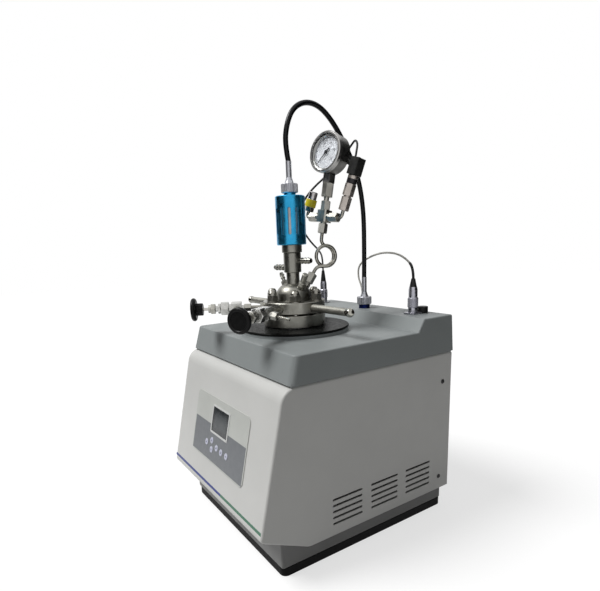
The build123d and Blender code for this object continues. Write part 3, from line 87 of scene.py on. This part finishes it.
# the dial's scale starts at the lower left and runs clockwise, in degrees
SCALE_START, SCALE_SWEEP, SCALE_STEPS = 225, 270, 50
SCALE_RADIUS, SCALE_WIDTH = 0.0233, 0.0004
LONG_TICK, MIDDLE_TICK, SHORT_TICK = 0.0196, 0.0209, 0.0218      # radius of each one's inner end
BROAD_TICK, FINE_TICK = 0.00038, 0.00022                         # half of each one's width
MARK_HEIGHT = 0.00005
NUMBER_SIZE, NUMBER_RADIUS = 0.0052, 0.0158
NUMBER_HALF = 0.00003        # half of a number's thickness

BAR_TURN = radians(3)        # the lift bars' line, from the cabinet's own right
BALL_START = 0.135           # from the vessel's axis out to the ball on each bar
SLEEVE_LENGTH = 0.0285
SLEEVE_RADIUS, SLEEVE_LIP, SLEEVE_BORE = 0.0023, 0.0020, 0.00178

# ---------------------------------------------------------------- routes of the cords, metres
SHEATH_ROUTE = [
    (0, 0, 0.6066), (0, -0.005, 0.632), (0, -0.001, 0.660), (-0.001, 0.012, 0.686),
    (-0.003, 0.037, 0.700), (-0.004, 0.066, 0.698), (-0.005, 0.094, 0.678), (-0.006, 0.122, 0.643),
    (-0.007, 0.151, 0.596), (-0.008, 0.165, 0.540), (-0.008, 0.167, 0.474), (-0.008, 0.166, 0.411)]
SENSOR_ROUTE = [
    (0.0534, 0.0811, 0.6011), (0.0488, 0.0808, 0.6016), (0.0458, 0.0888, 0.6013),
    (0.0432, 0.0981, 0.6044), (0.0407, 0.1064, 0.613), (0.038, 0.111, 0.6237),
    (0.0357, 0.1153, 0.6342), (0.029, 0.119, 0.6415), (0.0205, 0.122, 0.644),
    (0.0115, 0.1225, 0.6385), (0.007, 0.115, 0.6275), (0.001, 0.104, 0.6115),
    (-0.015, 0.091, 0.593), (-0.031, 0.067, 0.570), (-0.063, 0.064, 0.546), (-0.089, 0.076, 0.512),
    (-0.103, 0.109, 0.481), (-0.119, 0.144, 0.461), (-0.137, 0.164, 0.446), (-0.138, 0.165, 0.420)]
SIGNAL_ROUTE = [
    (-0.027, 0.178, 0.372), (-0.027, 0.178, 0.388), (-0.041, 0.179, 0.408), (-0.040, 0.180, 0.432),
    (-0.014, 0.180, 0.446), (0.025, 0.179, 0.456), (0.066, 0.176, 0.455), (0.095, 0.172, 0.445),
    (0.113, 0.170, 0.431), (0.1137, 0.1697, 0.4125)]
SHEATH_DIAMETER, LEAD_DIAMETER = 0.0086, 0.0036


# ---------------------------------------------------------------- shapes
def placed(name, data):
    """New object of the scene that holds this data."""
    piece = bpy.data.objects.new(name, data)
    bpy.context.collection.objects.link(piece)
    return piece


def rectangle(left, right, low, high):
    """Outline of a rectangle, anticlockwise from its lower left corner."""
    return np.array([(left, low), (right, low), (right, high), (left, high)])


def surface(name, points):
    """Closed mesh from a grid of points (u, v, 3): each quad joins the four grid points round one
    cell, and the last row and column join the first ones."""
    count_u, count_v = points.shape[:2]
    near_u, near_v = np.meshgrid(np.arange(count_u), np.arange(count_v), indexing="ij")
    far_u, far_v = (near_u + 1) % count_u, (near_v + 1) % count_v
    quads = np.stack([near_u * count_v + near_v, far_u * count_v + near_v,
                      far_u * count_v + far_v, near_u * count_v + far_v], -1).reshape(-1, 4)
    mesh = bpy.data.meshes.new(name)
    mesh.from_pydata(points.reshape(-1, 3).tolist(), [], quads.tolist())
    mesh.polygons.foreach_set("use_smooth", np.ones(len(quads), bool))
    return placed(name, mesh)


def revolved(name, profile, origin, axis, count=96):
    """Closed (radius, height) profile turned about an axis: the point at turn t is
    origin + height * axis + radius * (cos t * side + sin t * across)."""
    axis = np.array(axis) / np.linalg.norm(axis)
    side = np.cross(axis, (0, 0, 1) if abs(axis[2]) < 0.9 else (1, 0, 0))
    side /= np.linalg.norm(side)
    across = np.cross(axis, side)
    turns = np.linspace(0, 2 * pi, count, endpoint=False)
    circle = np.cos(turns)[:, None] * side + np.sin(turns)[:, None] * across
    profile = np.array(profile)
    points = (np.array(origin) + profile[None, :, 1:] * axis
              + profile[None, :, :1] * circle[:, None, :])
    return surface(name, points)


def plates(name, outlines, origin, right, up, thickness):
    """Flat shapes of one thickness, each from its anticlockwise (x, y) outline: the point is
    origin + x * right + y * up, and the far side is that point moved out by the thickness."""
    right, up = np.array(right), np.array(up)
    out = np.cross(right, up)
    vertices, faces, first = [], [], 0
    for outline in outlines:
        flat = np.array(origin) + outline @ np.stack([right, up])
        count = len(flat)
        vertices.append(np.concatenate([flat, flat + thickness * out]))
        ring = np.arange(first, first + count)
        beyond = np.roll(ring, -1)
        faces += np.stack([ring, beyond, beyond + count, ring + count], -1).tolist()
        faces += [ring[::-1].tolist(), (ring + count).tolist()]
        first += 2 * count
    mesh = bpy.data.meshes.new(name)
    mesh.from_pydata(np.concatenate(vertices).tolist(), [], faces)
    return placed(name, mesh)


def number(name, text, centre):
    """Number standing on the dial: each point (x, y, z) of its figures goes to
    centre + x * right + y * up + (dial's face + half its thickness + z) * out."""
    data = bpy.data.curves.new(name, "FONT")
    data.body = text
    data.size = NUMBER_SIZE
    data.align_x = "CENTER"
    data.align_y = "CENTER"
    data.extrude = NUMBER_HALF
    holder = placed("holder", data)
    bpy.context.view_layer.update()
    evaluated = holder.evaluated_get(bpy.context.evaluated_depsgraph_get())
    mesh = bpy.data.meshes.new_from_object(evaluated)
    bpy.data.objects.remove(holder)
    out = CROSS_RIGHT.cross(CROSS_UP)
    place = Matrix((CROSS_RIGHT, CROSS_UP, out)).transposed().to_4x4()
    place.translation = centre + (DIAL_FACE + NUMBER_HALF) * out
    mesh.transform(place)
    return placed(name, mesh)


def dress(piece, finish):
    """Give a new piece of the cabinet its finish and hang it on the cabinet."""
    piece.data.materials.clear()
    piece.data.materials.append(finish.material)
    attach(piece, "cabinet")


# ---------------------------------------------------------------- cords
def cord(name, route, diameter, slot, node):
    """Smooth line through the bends of a route, with the cord's round section along it."""
    data = bpy.data.curves.new(name, "CURVE")
    data.dimensions = "3D"
    data.resolution_u = 12
    spline = data.splines.new("NURBS")
    spline.points.add(len(route) - 1)
    for point, place in zip(spline.points, route):
        point.co = (*place, 1)
    spline.order_u = 3
    spline.use_endpoint_u = True
    data.bevel_depth = diameter / 2
    data.bevel_resolution = 6
    data.use_fill_caps = True
    piece = placed(name, data)
    data.materials.append(finishes[slot].material)
    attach(piece, "cabinet")
    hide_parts(node)
    return piece


def cord_line(piece):
    """Points of a cord's smooth line, read from its spline with the section taken off."""
    bare = piece.data.copy()
    bare.bevel_depth = 0
    bare.use_fill_caps = False
    holder = bpy.data.objects.new("line", bare)
    mesh = bpy.data.meshes.new_from_object(holder)
    points = np.zeros(len(mesh.vertices) * 3)
    mesh.vertices.foreach_get("co", points)
    bpy.data.objects.remove(holder)
    return points.reshape(-1, 3)


def signal_sleeve(lead):
    """Shrunk sleeve on the grey cable above its connector: a round section carried along the last
    points of the cable's own line, point = centre + radius * (cos t * side + sin t * across)."""
    line = cord_line(lead)
    line = line[np.linalg.norm(line - line[-1], axis=1) < SLEEVE_LENGTH]
    ahead = np.gradient(line, axis=0)
    ahead /= np.linalg.norm(ahead, axis=1)[:, None]
    side = np.cross(ahead, (0, 1, 0))
    side /= np.linalg.norm(side, axis=1)[:, None]
    across = np.cross(ahead, side)
    turns = np.linspace(0, 2 * pi, 32, endpoint=False)
    radius = np.full(len(line), SLEEVE_RADIUS)
    radius[0] = SLEEVE_LIP
    ring = np.cos(turns)[:, None, None] * side + np.sin(turns)[:, None, None] * across
    outside = line + radius[:, None] * ring
    inside = line[::-1] + SLEEVE_BORE * ring[:, ::-1]
    dress(surface("signal_sleeve", np.concatenate([outside, inside], 1)),
          finishes["cable_black"])


# ---------------------------------------------------------------- kit for the finishes
def linear(colour):
    """Colour in display values from 0 to 255, as the shader's linear values."""
    values = np.array(colour) / 255
    low, high = values / 12.92, ((values + 0.055) / 1.055) ** 2.4
    return (*np.where(values <= 0.04045, low, high).tolist(), 1)


def toned(colour, factor, lift=0.0):
    """Linear colour times a factor, lifted by a little, at most white."""
    return (*[min(1, value * factor + lift) for value in colour[:3]], 1)


def seen_rays(tree):
    """1 for what the eye sees, also in a polished face or through glass, and 0 for plain light."""
    path = tree.nodes.new("ShaderNodeLightPath")
    seen = path.outputs["Is Camera Ray"]
    for kind in ("Is Glossy Ray", "Is Transmission Ray"):
        larger = tree.nodes.new("ShaderNodeMath")
        larger.operation = "MAXIMUM"
        tree.links.new(seen, larger.inputs[0])
        tree.links.new(path.outputs[kind], larger.inputs[1])
        seen = larger.outputs[0]
    return seen


class Finish:
    """One material, with short calls for the nodes that it is made of."""

    def __init__(self, name, rough, metal=0.0, **sockets):
        self.name = name
        self.material = bpy.data.materials.new(name)
        self.material.use_nodes = True
        self.tree = self.material.node_tree
        self.shader = self.tree.nodes["Principled BSDF"]
        self.shader.inputs["Roughness"].default_value = rough
        self.shader.inputs["Metallic"].default_value = metal
        for socket, value in sockets.items():
            self.shader.inputs[socket.replace("_", " ")].default_value = value
        self.where = self.node("ShaderNodeTexCoord").outputs["Object"]

    def node(self, kind, settings=None, **inputs):
        """Node with its settings, and with values or links for its inputs by name or number."""
        node = self.tree.nodes.new(kind)
        for key, value in (settings or {}).items():
            setattr(node, key, value)
        for key, value in inputs.items():
            place = int(key[1:]) if key[1:].isdigit() else key.replace("_", " ")
            socket = node.inputs[place]
            if isinstance(value, bpy.types.NodeSocket):
                self.tree.links.new(value, socket)
            else:
                socket.default_value = value
        return node

    def link(self, output, socket):
        """Lead an output to a socket of the shader."""
        self.tree.links.new(output, self.shader.inputs[socket])

    def linked(self, socket):
        """Output that leads to a socket of the shader so far."""
        return self.shader.inputs[socket].links[0].from_socket

    def noise(self, scale, detail, stretch=None, roughness=0.55):
        """Cloudy value from 0 to 1; its grains are about 1/scale metres."""
        where = self.where
        if stretch:
            where = self.node("ShaderNodeMapping", Vector=where, Scale=stretch).outputs["Vector"]
        return self.node("ShaderNodeTexNoise", Vector=where, Scale=scale, Detail=detail,
                         Roughness=roughness).outputs["Fac"]

    def span(self, value, low, high, to_low=0.0, to_high=1.0):
        """Value brought from one range to another, held at the ends."""
        return self.node("ShaderNodeMapRange", Value=value, From_Min=low, From_Max=high,
                         To_Min=to_low, To_Max=to_high).outputs["Result"]

    def patches(self, scale, detail, low=0.3, high=0.7, to_low=0.0, to_high=1.0):
        """Soft patches of about 1/scale metres, from one value to another."""
        return self.span(self.noise(scale, detail), low, high, to_low, to_high)

    def maths(self, operation, a, b=0.0):
        """Arithmetic on one or two values."""
        return self.node("ShaderNodeMath", {"operation": operation}, _0=a, _1=b).outputs[0]

    def vector(self, operation, a, b, output="Value"):
        """Arithmetic on two vectors."""
        return self.node("ShaderNodeVectorMath", {"operation": operation}, _0=a,
                         _1=b).outputs[output]

    def mix(self, factor, a, b):
        """Colour a where factor is 0 and b where it is 1."""
        return self.node("ShaderNodeMix", {"data_type": "RGBA"}, _0=factor, _6=a, _7=b).outputs[2]

    def along(self, origin, axis):
        """Distance from a point along an axis, in metres."""
        moved = self.vector("SUBTRACT", self.where, tuple(origin), "Vector")
        return self.vector("DOT_PRODUCT", moved, tuple(axis))

    def on_fascia(self):
        """Distances across the fascia and up it, in metres."""
        return self.along(FASCIA, FASCIA_ACROSS), self.along(FASCIA, FASCIA_UP)

    def between(self, value, low, high, soft=PRINT_EDGE):
        """1 where the value lies between two limits, else 0."""
        rise = self.span(value, low - soft, low + soft)
        fall = self.span(value, high - soft, high + soft, 1.0, 0.0)
        return self.maths("MULTIPLY", rise, fall)

    def inside(self, place, area, soft=PRINT_EDGE):
        """1 where a place on the fascia lies inside a printed area, else 0."""
        across, rise = [self.between(value, *limits, soft) for value, limits in zip(place, area)]
        return self.maths("MULTIPLY", rise, across)

    def rounded(self, radius):
        """Normal with the sharp edges softened by this radius."""
        return self.node("ShaderNodeBevel", {"samples": 4}, Radius=radius).outputs["Normal"]

    def worn_edge(self, radius=0.0012):
        """1 on sharp outer and inner edges, 0 on plain faces."""
        plain = self.node("ShaderNodeNewGeometry").outputs["Normal"]
        return self.span(self.vector("DOT_PRODUCT", self.rounded(radius), plain), 0.98, 0.80)

    def bump(self, height, distance, normal):
        """Surface relief this many metres deep, over softened edges."""
        return self.node("ShaderNodeBump", Height=height, Distance=distance,
                         Normal=normal).outputs["Normal"]


# ---------------------------------------------------------------- kinds of finish
# how a pattern is stretched: even each way, or drawn out into lines round the upright axis
EVEN, LINES, BROAD_LINES = (1, 1, 1), (0.02, 0.02, 1), (0.03, 0.03, 1)


def painted(name, colour, rough, peel=0.00004, grain=1500, shade=0.06, edge=None):
    """Baked paint on sheet steel: a fine peel, slight cloudiness and paler rubbed edges."""
    paint = Finish(name, rough, Specular_IOR_Level=0.3)
    colour = linear(colour)
    colours = paint.mix(paint.patches(9, 4), toned(colour, 1 - shade), colour)
    if edge:
        colours = paint.mix(paint.worn_edge(), colours, linear(edge))
    paint.link(colours, "Base Color")
    paint.link(paint.patches(40, 5, to_low=rough - 0.06, to_high=rough + 0.08), "Roughness")
    paint.link(paint.bump(paint.noise(grain, 2), peel, paint.rounded(0.0006)), "Normal")
    return paint


def moulded(name, colour, rough, grain=2200, depth=0.00003, shade=0.25, gloss=0.3):
    """Moulded plastic or rubber: a fine even grain, paler and duller in patches."""
    plastic = Finish(name, rough, Specular_IOR_Level=gloss)
    colour = linear(colour)
    colours = plastic.mix(plastic.patches(60, 4, 0.35, 0.75), colour,
                          toned(colour, 1 + shade, 0.004))
    plastic.link(colours, "Base Color")
    plastic.link(plastic.patches(150, 4, to_low=rough - 0.07, to_high=rough + 0.1), "Roughness")
    plastic.link(plastic.bump(plastic.noise(grain, 2), depth, plastic.rounded(0.0005)), "Normal")
    return plastic


def machined(name, colour, stain, rough, stretch=LINES, lines=2600, depth=0.000012):
    """Turned or ground steel: fine tool marks, a darker stain in patches and a soft edge."""
    steel = Finish(name, rough, 1.0)
    colour = linear(colour)
    cloud = steel.span(steel.noise(38, 5, roughness=0.65), 0.34, 0.72)
    stained = steel.mix(cloud, colour, linear(stain))
    specks = steel.patches(420, 3, 0.35, 0.75, 0.0, 0.35)
    steel.link(steel.mix(specks, stained, toned(colour, 0.72)), "Base Color")
    tool_marks = steel.noise(lines, 2, stretch)
    wear = steel.patches(90, 4, to_low=rough - 0.06, to_high=rough + 0.12)
    marked = steel.span(tool_marks, 0.3, 0.7, -0.03, 0.05)
    steel.link(steel.maths("ADD", wear, marked), "Roughness")
    steel.link(steel.bump(tool_marks, depth, steel.rounded(0.0004)), "Normal")
    return steel


def inked(name, colour, rough):
    """Printed ink or enamel: one colour, a little uneven in depth and gloss."""
    ink = Finish(name, rough)
    colour = linear(colour)
    ink.link(ink.mix(ink.patches(500, 3, 0.35, 0.7), colour, toned(colour, 1.12, 0.003)),
             "Base Color")
    ink.link(ink.patches(300, 3, to_low=rough - 0.05, to_high=rough + 0.08), "Roughness")
    return ink


# ---------------------------------------------------------------- finishes of this reactor
def bar_steel():
    """Satin steel of the lift bars, polished on the balls at their ends."""
    bar = machined("bar_steel", (172, 171, 163), (146, 144, 136), 0.46, EVEN, 700)
    reach = bar.maths("ABSOLUTE", bar.along((0, 0, 0), (cos(BAR_TURN), sin(BAR_TURN), 0)))
    ball = bar.span(reach, BALL_START - 0.0005, BALL_START + 0.0005)
    satin = bar.linked("Roughness")
    bar.link(bar.maths("MULTIPLY", satin, bar.span(ball, 0, 1, 1.0, 0.3)), "Roughness")
    return bar


def gauge_steel():
    """Steel of the gauge: the bezel and the stem are bright, the case behind is duller."""
    gauge = machined("gauge_steel", (112, 111, 109), (84, 83, 81), 0.34, EVEN, 600)
    bezel = gauge.span(gauge.along(GAUGE, -CROSS_BACK), BEZEL_BACK - 0.0001, BEZEL_BACK + 0.0001)
    stem = gauge.span(gauge.along(GAUGE, CROSS_UP), STEM_TOP, STEM_TOP + 0.0005, 1.0, 0.0)
    bright = gauge.maths("MAXIMUM", bezel, stem)
    dull = gauge.linked("Base Color")
    gauge.link(gauge.mix(bright, dull, linear((166, 165, 163))), "Base Color")
    return gauge


def gauge_glass():
    """Clear glass of the gauge, slightly smeared; most of the light goes through to the dial."""
    glass = Finish("gauge_glass", 0.04, Transmission_Weight=1.0, IOR=1.45)
    shadow = glass.node("ShaderNodeLightPath").outputs["Is Shadow Ray"]
    glass.link(glass.span(shadow, 0, 1, 1.0, 0.1), "Alpha")
    glass.link(glass.mix(glass.patches(60, 3, 0.4, 0.8), (0.97, 0.98, 0.98, 1),
                         (0.93, 0.95, 0.95, 1)), "Base Color")
    glass.link(glass.patches(200, 3, 0.4, 0.9, 0.02, 0.07), "Roughness")
    return glass


def panel_film():
    """Printed film of the fascia: a grey field, a pale frame round the display and pale keys."""
    film = Finish("panel_film", 0.38)
    place = film.on_fascia()
    body = film.mix(film.patches(30, 4), linear((186, 188, 183)), linear((193, 195, 190)))
    printed = film.mix(film.inside(place, GREY_FIELD), body, linear((112, 115, 119)))
    printed = film.mix(film.inside(place, DISPLAY_FRAME), printed, linear((208, 209, 207)))
    spot = film.node("ShaderNodeCombineXYZ", X=place[0], Y=place[1]).outputs["Vector"]
    keys = 0.0
    for x, y in KEYS:
        away = film.vector("DISTANCE", spot, (x, y, 0))
        key = film.span(away, KEY_RADIUS - PRINT_EDGE, KEY_RADIUS + PRINT_EDGE, 1.0, 0.0)
        keys = film.maths("MAXIMUM", key, keys)
    film.link(film.mix(keys, printed, linear((188, 190, 206))), "Base Color")
    film.link(film.patches(120, 3, to_low=0.32, to_high=0.46), "Roughness")
    film.link(film.bump(film.noise(3000, 1), 0.000008, film.rounded(0.0003)), "Normal")
    return film


def display_glass():
    """Dark glossy window of the display, paler in its middle."""
    display = Finish("display", 0.14)
    middle = display.inside(display.on_fascia(), DISPLAY_MIDDLE, 0.0035)
    display.link(display.mix(middle, linear((36, 40, 43)), linear((58, 63, 66))), "Base Color")
    display.link(display.patches(90, 3, to_low=0.10, to_high=0.2), "Roughness")
    return display


def transducer_steel():
    """Steel of the transducer, with a black enamelled ring round its top collar."""
    sensor = machined("transducer_steel", (196, 188, 182), (148, 141, 134), 0.3, EVEN, 900)
    ring = sensor.between(sensor.along(SENSOR, BRANCH), *SENSOR_RING, 0.0003)
    bare = sensor.linked("Base Color")
    sensor.link(sensor.mix(ring, bare, linear((26, 24, 30))), "Base Color")
    sensor.link(sensor.span(ring, 0, 1, 1.0, 0.25), "Metallic")
    return sensor


def make_finishes():
    """Every finish by the name of the record's slot."""
    made = [
        # cabinet
        moulded("base_black", (11, 11, 12), 0.5, 1600, gloss=0.06),
        painted("plinth_grey", (117, 117, 116), 0.42),
        painted("cabinet_white", (207, 207, 204), 0.42, edge=(222, 222, 219)),
        painted("cover_grey", (142, 147, 147), 0.48, 0.00006, 1100, edge=(160, 164, 164)),
        moulded("screw_black", (30, 30, 31), 0.35),
        moulded("disc_black", (22, 23, 22), 0.3, 2600, 0.000008, 0.15, gloss=0.02),
        panel_film(),
        display_glass(),
        # inside the cabinet
        machined("heater_metal", (190, 190, 192), (150, 150, 152), 0.4),
        moulded("insulation_wool", (196, 190, 172), 0.9, 900, 0.0003, 0.1),
        machined("motor_grey", (140, 142, 145), (110, 112, 115), 0.42),
        machined("bright_steel", (205, 203, 198), (168, 164, 156), 0.2),
        moulded("board_green", (30, 82, 50), 0.4),
        moulded("fan_black", (22, 22, 23), 0.42),
        # vessel and head
        machined("vessel_steel", (152, 151, 144), (126, 124, 117), 0.31, BROAD_LINES, 3200,
                 0.000003),
        moulded("gasket_dark", (28, 27, 26), 0.6),
        machined("nut_steel", (152, 150, 143), (112, 110, 103), 0.3),
        bar_steel(),
        # stirrer drive
        moulded("bush_plastic", (225, 222, 210), 0.5),
        machined("rotor_steel", (176, 172, 172), (150, 144, 143), 0.3),
        machined("anodised_blue", (62, 170, 216), (36, 140, 190), 0.28, BROAD_LINES, 2600,
                 0.000006),
        machined("knurled_aluminium", (196, 197, 202), (158, 159, 166), 0.32),
        moulded("sheath_black", (10, 11, 14), 0.26, 1300, 0.00002, gloss=0.22),
        # valves, tubes and gauge manifold
        machined("fitting_steel", (188, 187, 180), (146, 144, 137), 0.34, EVEN, 900),
        machined("tube_steel", (160, 158, 150), (122, 120, 112), 0.2, EVEN, 800),
        machined("valve_steel", (212, 212, 209), (166, 165, 161), 0.26, EVEN, 900),
        moulded("knob_black", (20, 20, 20), 0.34, 1200, gloss=0.12),
        gauge_steel(),
        gauge_glass(),
        painted("dial_white", (228, 229, 234), 0.5, 0.00001, 2500, 0.03),
        moulded("pointer_black", (52, 52, 58), 0.4),
        machined("relief_steel", (206, 203, 204), (150, 146, 144), 0.2, EVEN, 900),
        transducer_steel(),
        moulded("plug_black", (26, 26, 25), 0.42, 1500, 0.00005),
        # deck
        machined("anodised_navy", (22, 34, 88), (16, 24, 66), 0.38),
        machined("connector_metal", (190, 190, 198), (146, 146, 156), 0.26),
        moulded("cable_black", (20, 20, 21), 0.36, 1800),
        moulded("cable_grey", (190, 188, 181), 0.42, 1800),
        moulded("cap_black", (18, 18, 18), 0.45)]
    return {finish.name: finish for finish in made}


def dress_nodes():
    """Give every node of the frame the finish of its slot."""
    for name, slot in slots.items():
        node = nodes[name]
        node.data.materials.clear()
        node.data.materials.append(finishes[slot].material)


# ---------------------------------------------------------------- prints and small pieces
def legend_on_dial():
    """Scale ring, ticks and plain numbers printed on the dial. A tick runs along the ray at its
    turn from its inner radius out to the scale's, and is as broad to each side as its half width;
    the ring lies between the scale's radius and that plus its width."""
    ink = inked("dial_ink", (36, 36, 44), 0.55)
    outlines = []
    for step in range(SCALE_STEPS + 1):
        turn = radians(SCALE_START - SCALE_SWEEP * step / SCALE_STEPS)
        inner = LONG_TICK if step % 10 == 0 else MIDDLE_TICK if step % 5 == 0 else SHORT_TICK
        half = BROAD_TICK if step % 5 == 0 else FINE_TICK
        ray, side = np.array((cos(turn), sin(turn))), np.array((-sin(turn), cos(turn)))
        outlines.append(np.array([inner * ray - half * side, SCALE_RADIUS * ray - half * side,
                                  SCALE_RADIUS * ray + half * side, inner * ray + half * side]))
    turns = np.radians(np.linspace(SCALE_START, SCALE_START - SCALE_SWEEP, 91))
    arc = np.stack([np.cos(turns), np.sin(turns)], -1)
    ring = [arc * SCALE_RADIUS, arc[::-1] * (SCALE_RADIUS + SCALE_WIDTH)]
    outlines.append(np.concatenate(ring)[::-1])
    printed = np.array(GAUGE - DIAL_FACE * CROSS_BACK)
    dress(plates("dial_marks", outlines, printed, CROSS_RIGHT, CROSS_UP, MARK_HEIGHT), ink)
    for step in range(0, SCALE_STEPS + 1, 10):
        turn = radians(SCALE_START - SCALE_SWEEP * step / SCALE_STEPS)
        centre = GAUGE + NUMBER_RADIUS * (cos(turn) * CROSS_RIGHT + sin(turn) * CROSS_UP)
        value = step // 2
        dress(number(f"dial_number_{value}", str(value), centre), ink)


def ring_round_dial():
    """Sloping steel ring between the dial and the glass, from the case's wall in to the scale; its
    profile is (radius, way out from the gauge's centre)."""
    profile = [(0.0300, 0.01305), (0.0300, 0.0160), (0.0286, 0.0160), (0.0250, 0.0134),
               (0.0250, 0.01305)]
    dress(revolved("dial_ring", profile, GAUGE, -CROSS_BACK), finishes["gauge_steel"])


def marks_on_keys():
    """Pale caps on the six keys, each with a plain printed sign: a square, four arrows, a bar. A
    cap's outline is the key's centre + the cap's radius * (cos t, sin t)."""
    square = rectangle(-0.0015, 0.0015, -0.0015, 0.0015)
    bar = rectangle(-0.0021, 0.0021, -0.0007, 0.0007)
    arrow_up = np.array([(-0.0026, -0.0014), (0.0026, -0.0014), (0, 0.0025)])
    arrow_right = np.array([(-0.0014, 0.0026), (-0.0014, -0.0026), (0.0025, 0)])
    signs = [square, arrow_up, -arrow_up, -arrow_right, arrow_right, bar]
    around = np.linspace(0, 2 * pi, 48, endpoint=False)
    disc = CAP_RADIUS * np.stack([np.cos(around), np.sin(around)], -1)
    out = np.array(FASCIA_OUT)
    face = np.array(FASCIA) + KEY_FACE * out
    dress(plates("key_caps", [disc + key for key in KEYS], face - PRINT_SINK * out,
                 FASCIA_ACROSS, FASCIA_UP, PRINT_SINK + CAP_HEIGHT),
          inked("key_print", (196, 198, 214), 0.4))
    dress(plates("key_signs", [sign + key for sign, key in zip(signs, KEYS)],
                 face + CAP_HEIGHT * out, FASCIA_ACROSS, FASCIA_UP, SIGN_HEIGHT),
          inked("key_sign", (98, 100, 128), 0.45))


def lines_on_fascia():
    """Two coloured lines that run across the fascia, near its lower edge."""
    origin = np.array(FASCIA) - PRINT_SINK * np.array(FASCIA_OUT)
    blue = inked("line_blue", (18, 44, 122), 0.35)
    green = inked("line_green", (48, 106, 80), 0.35)
    for name, ink, start, end in (("fascia_line_left", blue, LINE_START, LINE_MEETING),
                                  ("fascia_line_right", green, LINE_MEETING, LINE_END)):
        dress(plates(name, [rectangle(start, end, *LINE_RISE)], origin, FASCIA_ACROSS, FASCIA_UP,
                     LINE_THICKNESS), ink)


def relief_band():
    """Thin coloured sleeve round the relief valve's body; its profile is (radius, height)."""
    profile = [(0.00915, 0.0080), (0.00945, 0.0080), (0.00952, 0.0084), (0.00952, 0.0200),
               (0.00945, 0.0204), (0.00915, 0.0204)]
    dress(revolved("relief_band", profile, RELIEF, BRANCH),
          inked("band_yellow", (214, 196, 22), 0.35))


# ---------------------------------------------------------------- camera, light and surroundings
def place_camera():
    """Eye in front of the reactor and to its right, level with the lower edge of the drive's
    housing."""
    data = bpy.data.cameras.new("camera")
    data.sensor_fit = "HORIZONTAL"
    data.sensor_width = 36
    data.lens = 28.395
    data.shift_x, data.shift_y = -0.0051, 0.0992
    data.clip_start, data.clip_end = 0.02, 30
    camera = placed("camera", data)
    camera.location = (0.6839, -0.43924, 0.47665)
    camera.rotation_euler = Euler((radians(76.7766), radians(2.0763), radians(55.9500)))
    bpy.context.scene.camera = camera


def place_lights():
    """Broad light from the front left and above, with an even dim sky all round that is white
    where the eye meets it."""
    dim, white = 0.24, 1.0
    data = bpy.data.lights.new("window_light", "SUN")
    data.energy = 2.7
    data.angle = radians(24)
    lamp = placed("window_light", data)
    lamp.rotation_euler = Vector((-0.30, -0.53, 0.84)).to_track_quat("Z", "Y").to_euler()
    world = bpy.data.worlds.new("studio")
    bpy.context.scene.world = world
    world.use_nodes = True
    tree = world.node_tree
    level = tree.nodes.new("ShaderNodeMapRange")
    level.inputs["To Min"].default_value = dim
    level.inputs["To Max"].default_value = white
    tree.links.new(seen_rays(tree), level.inputs["Value"])
    sky = tree.nodes["Background"]
    sky.inputs["Color"].default_value = (1, 1, 1, 1)
    tree.links.new(level.outputs["Result"], sky.inputs["Strength"])
    bpy.context.scene.view_settings.view_transform = "Standard"


def place_floor():
    """Pale floor under the cabinet: matt white that keeps the shadow, and as white as the sky where
    the eye or a polished face meets it in the light."""
    half, thickness, drop = 6, 0.02, 0.0003
    shade, glow = 0.4, 0.66
    floor = plates("floor", [rectangle(-half, half, -half, half)], (0, 0, -drop - thickness),
                   (1, 0, 0), (0, 1, 0), thickness)
    white = Finish("floor_white", 0.9, Specular_IOR_Level=0.0, Emission_Color=(1, 1, 1, 1))
    white.shader.inputs["Base Color"].default_value = (shade, shade, shade, 1)
    white.link(white.span(seen_rays(white.tree), 0, 1, 0.0, glow), "Emission Strength")
    floor.data.materials.append(white.material)


def place_cards():
    """Dark cards each side of the reactor, out of sight, that the polished steel picks up."""
    distance, low, high, thickness = 1.1, 0.02, 1.5, 0.01
    black = Finish("card_black", 0.9, Specular_IOR_Level=0.0)
    black.shader.inputs["Base Color"].default_value = (0.02, 0.02, 0.02, 1)
    for name, azimuth, half in (("card_left", -117, 1.0), ("card_right", 60, 1.75)):
        away = np.array((cos(radians(azimuth)), sin(radians(azimuth)), 0))
        across = np.array((-away[1], away[0], 0))
        card = plates(name, [rectangle(-half, half, low, high)], distance * away, across,
                      (0, 0, 1), thickness)
        card.data.materials.append(black.material)
        card.visible_camera = False
        card.visible_diffuse = False
        card.visible_shadow = False


# ---------------------------------------------------------------- making
place_camera()
place_lights()
place_floor()
place_cards()
finishes = make_finishes()

cord("drive_shaft_cover", SHEATH_ROUTE, SHEATH_DIAMETER, "sheath_black",
     "drive_sheath")
cord("sensor_lead", SENSOR_ROUTE, LEAD_DIAMETER, "cable_black", "sensor_cable")
signal_lead = cord("signal_lead", SIGNAL_ROUTE, LEAD_DIAMETER, "cable_grey",
                   "signal_cable")

dress_nodes()
legend_on_dial()
ring_round_dial()
marks_on_keys()
lines_on_fascia()
relief_band()
signal_sleeve(signal_lead)
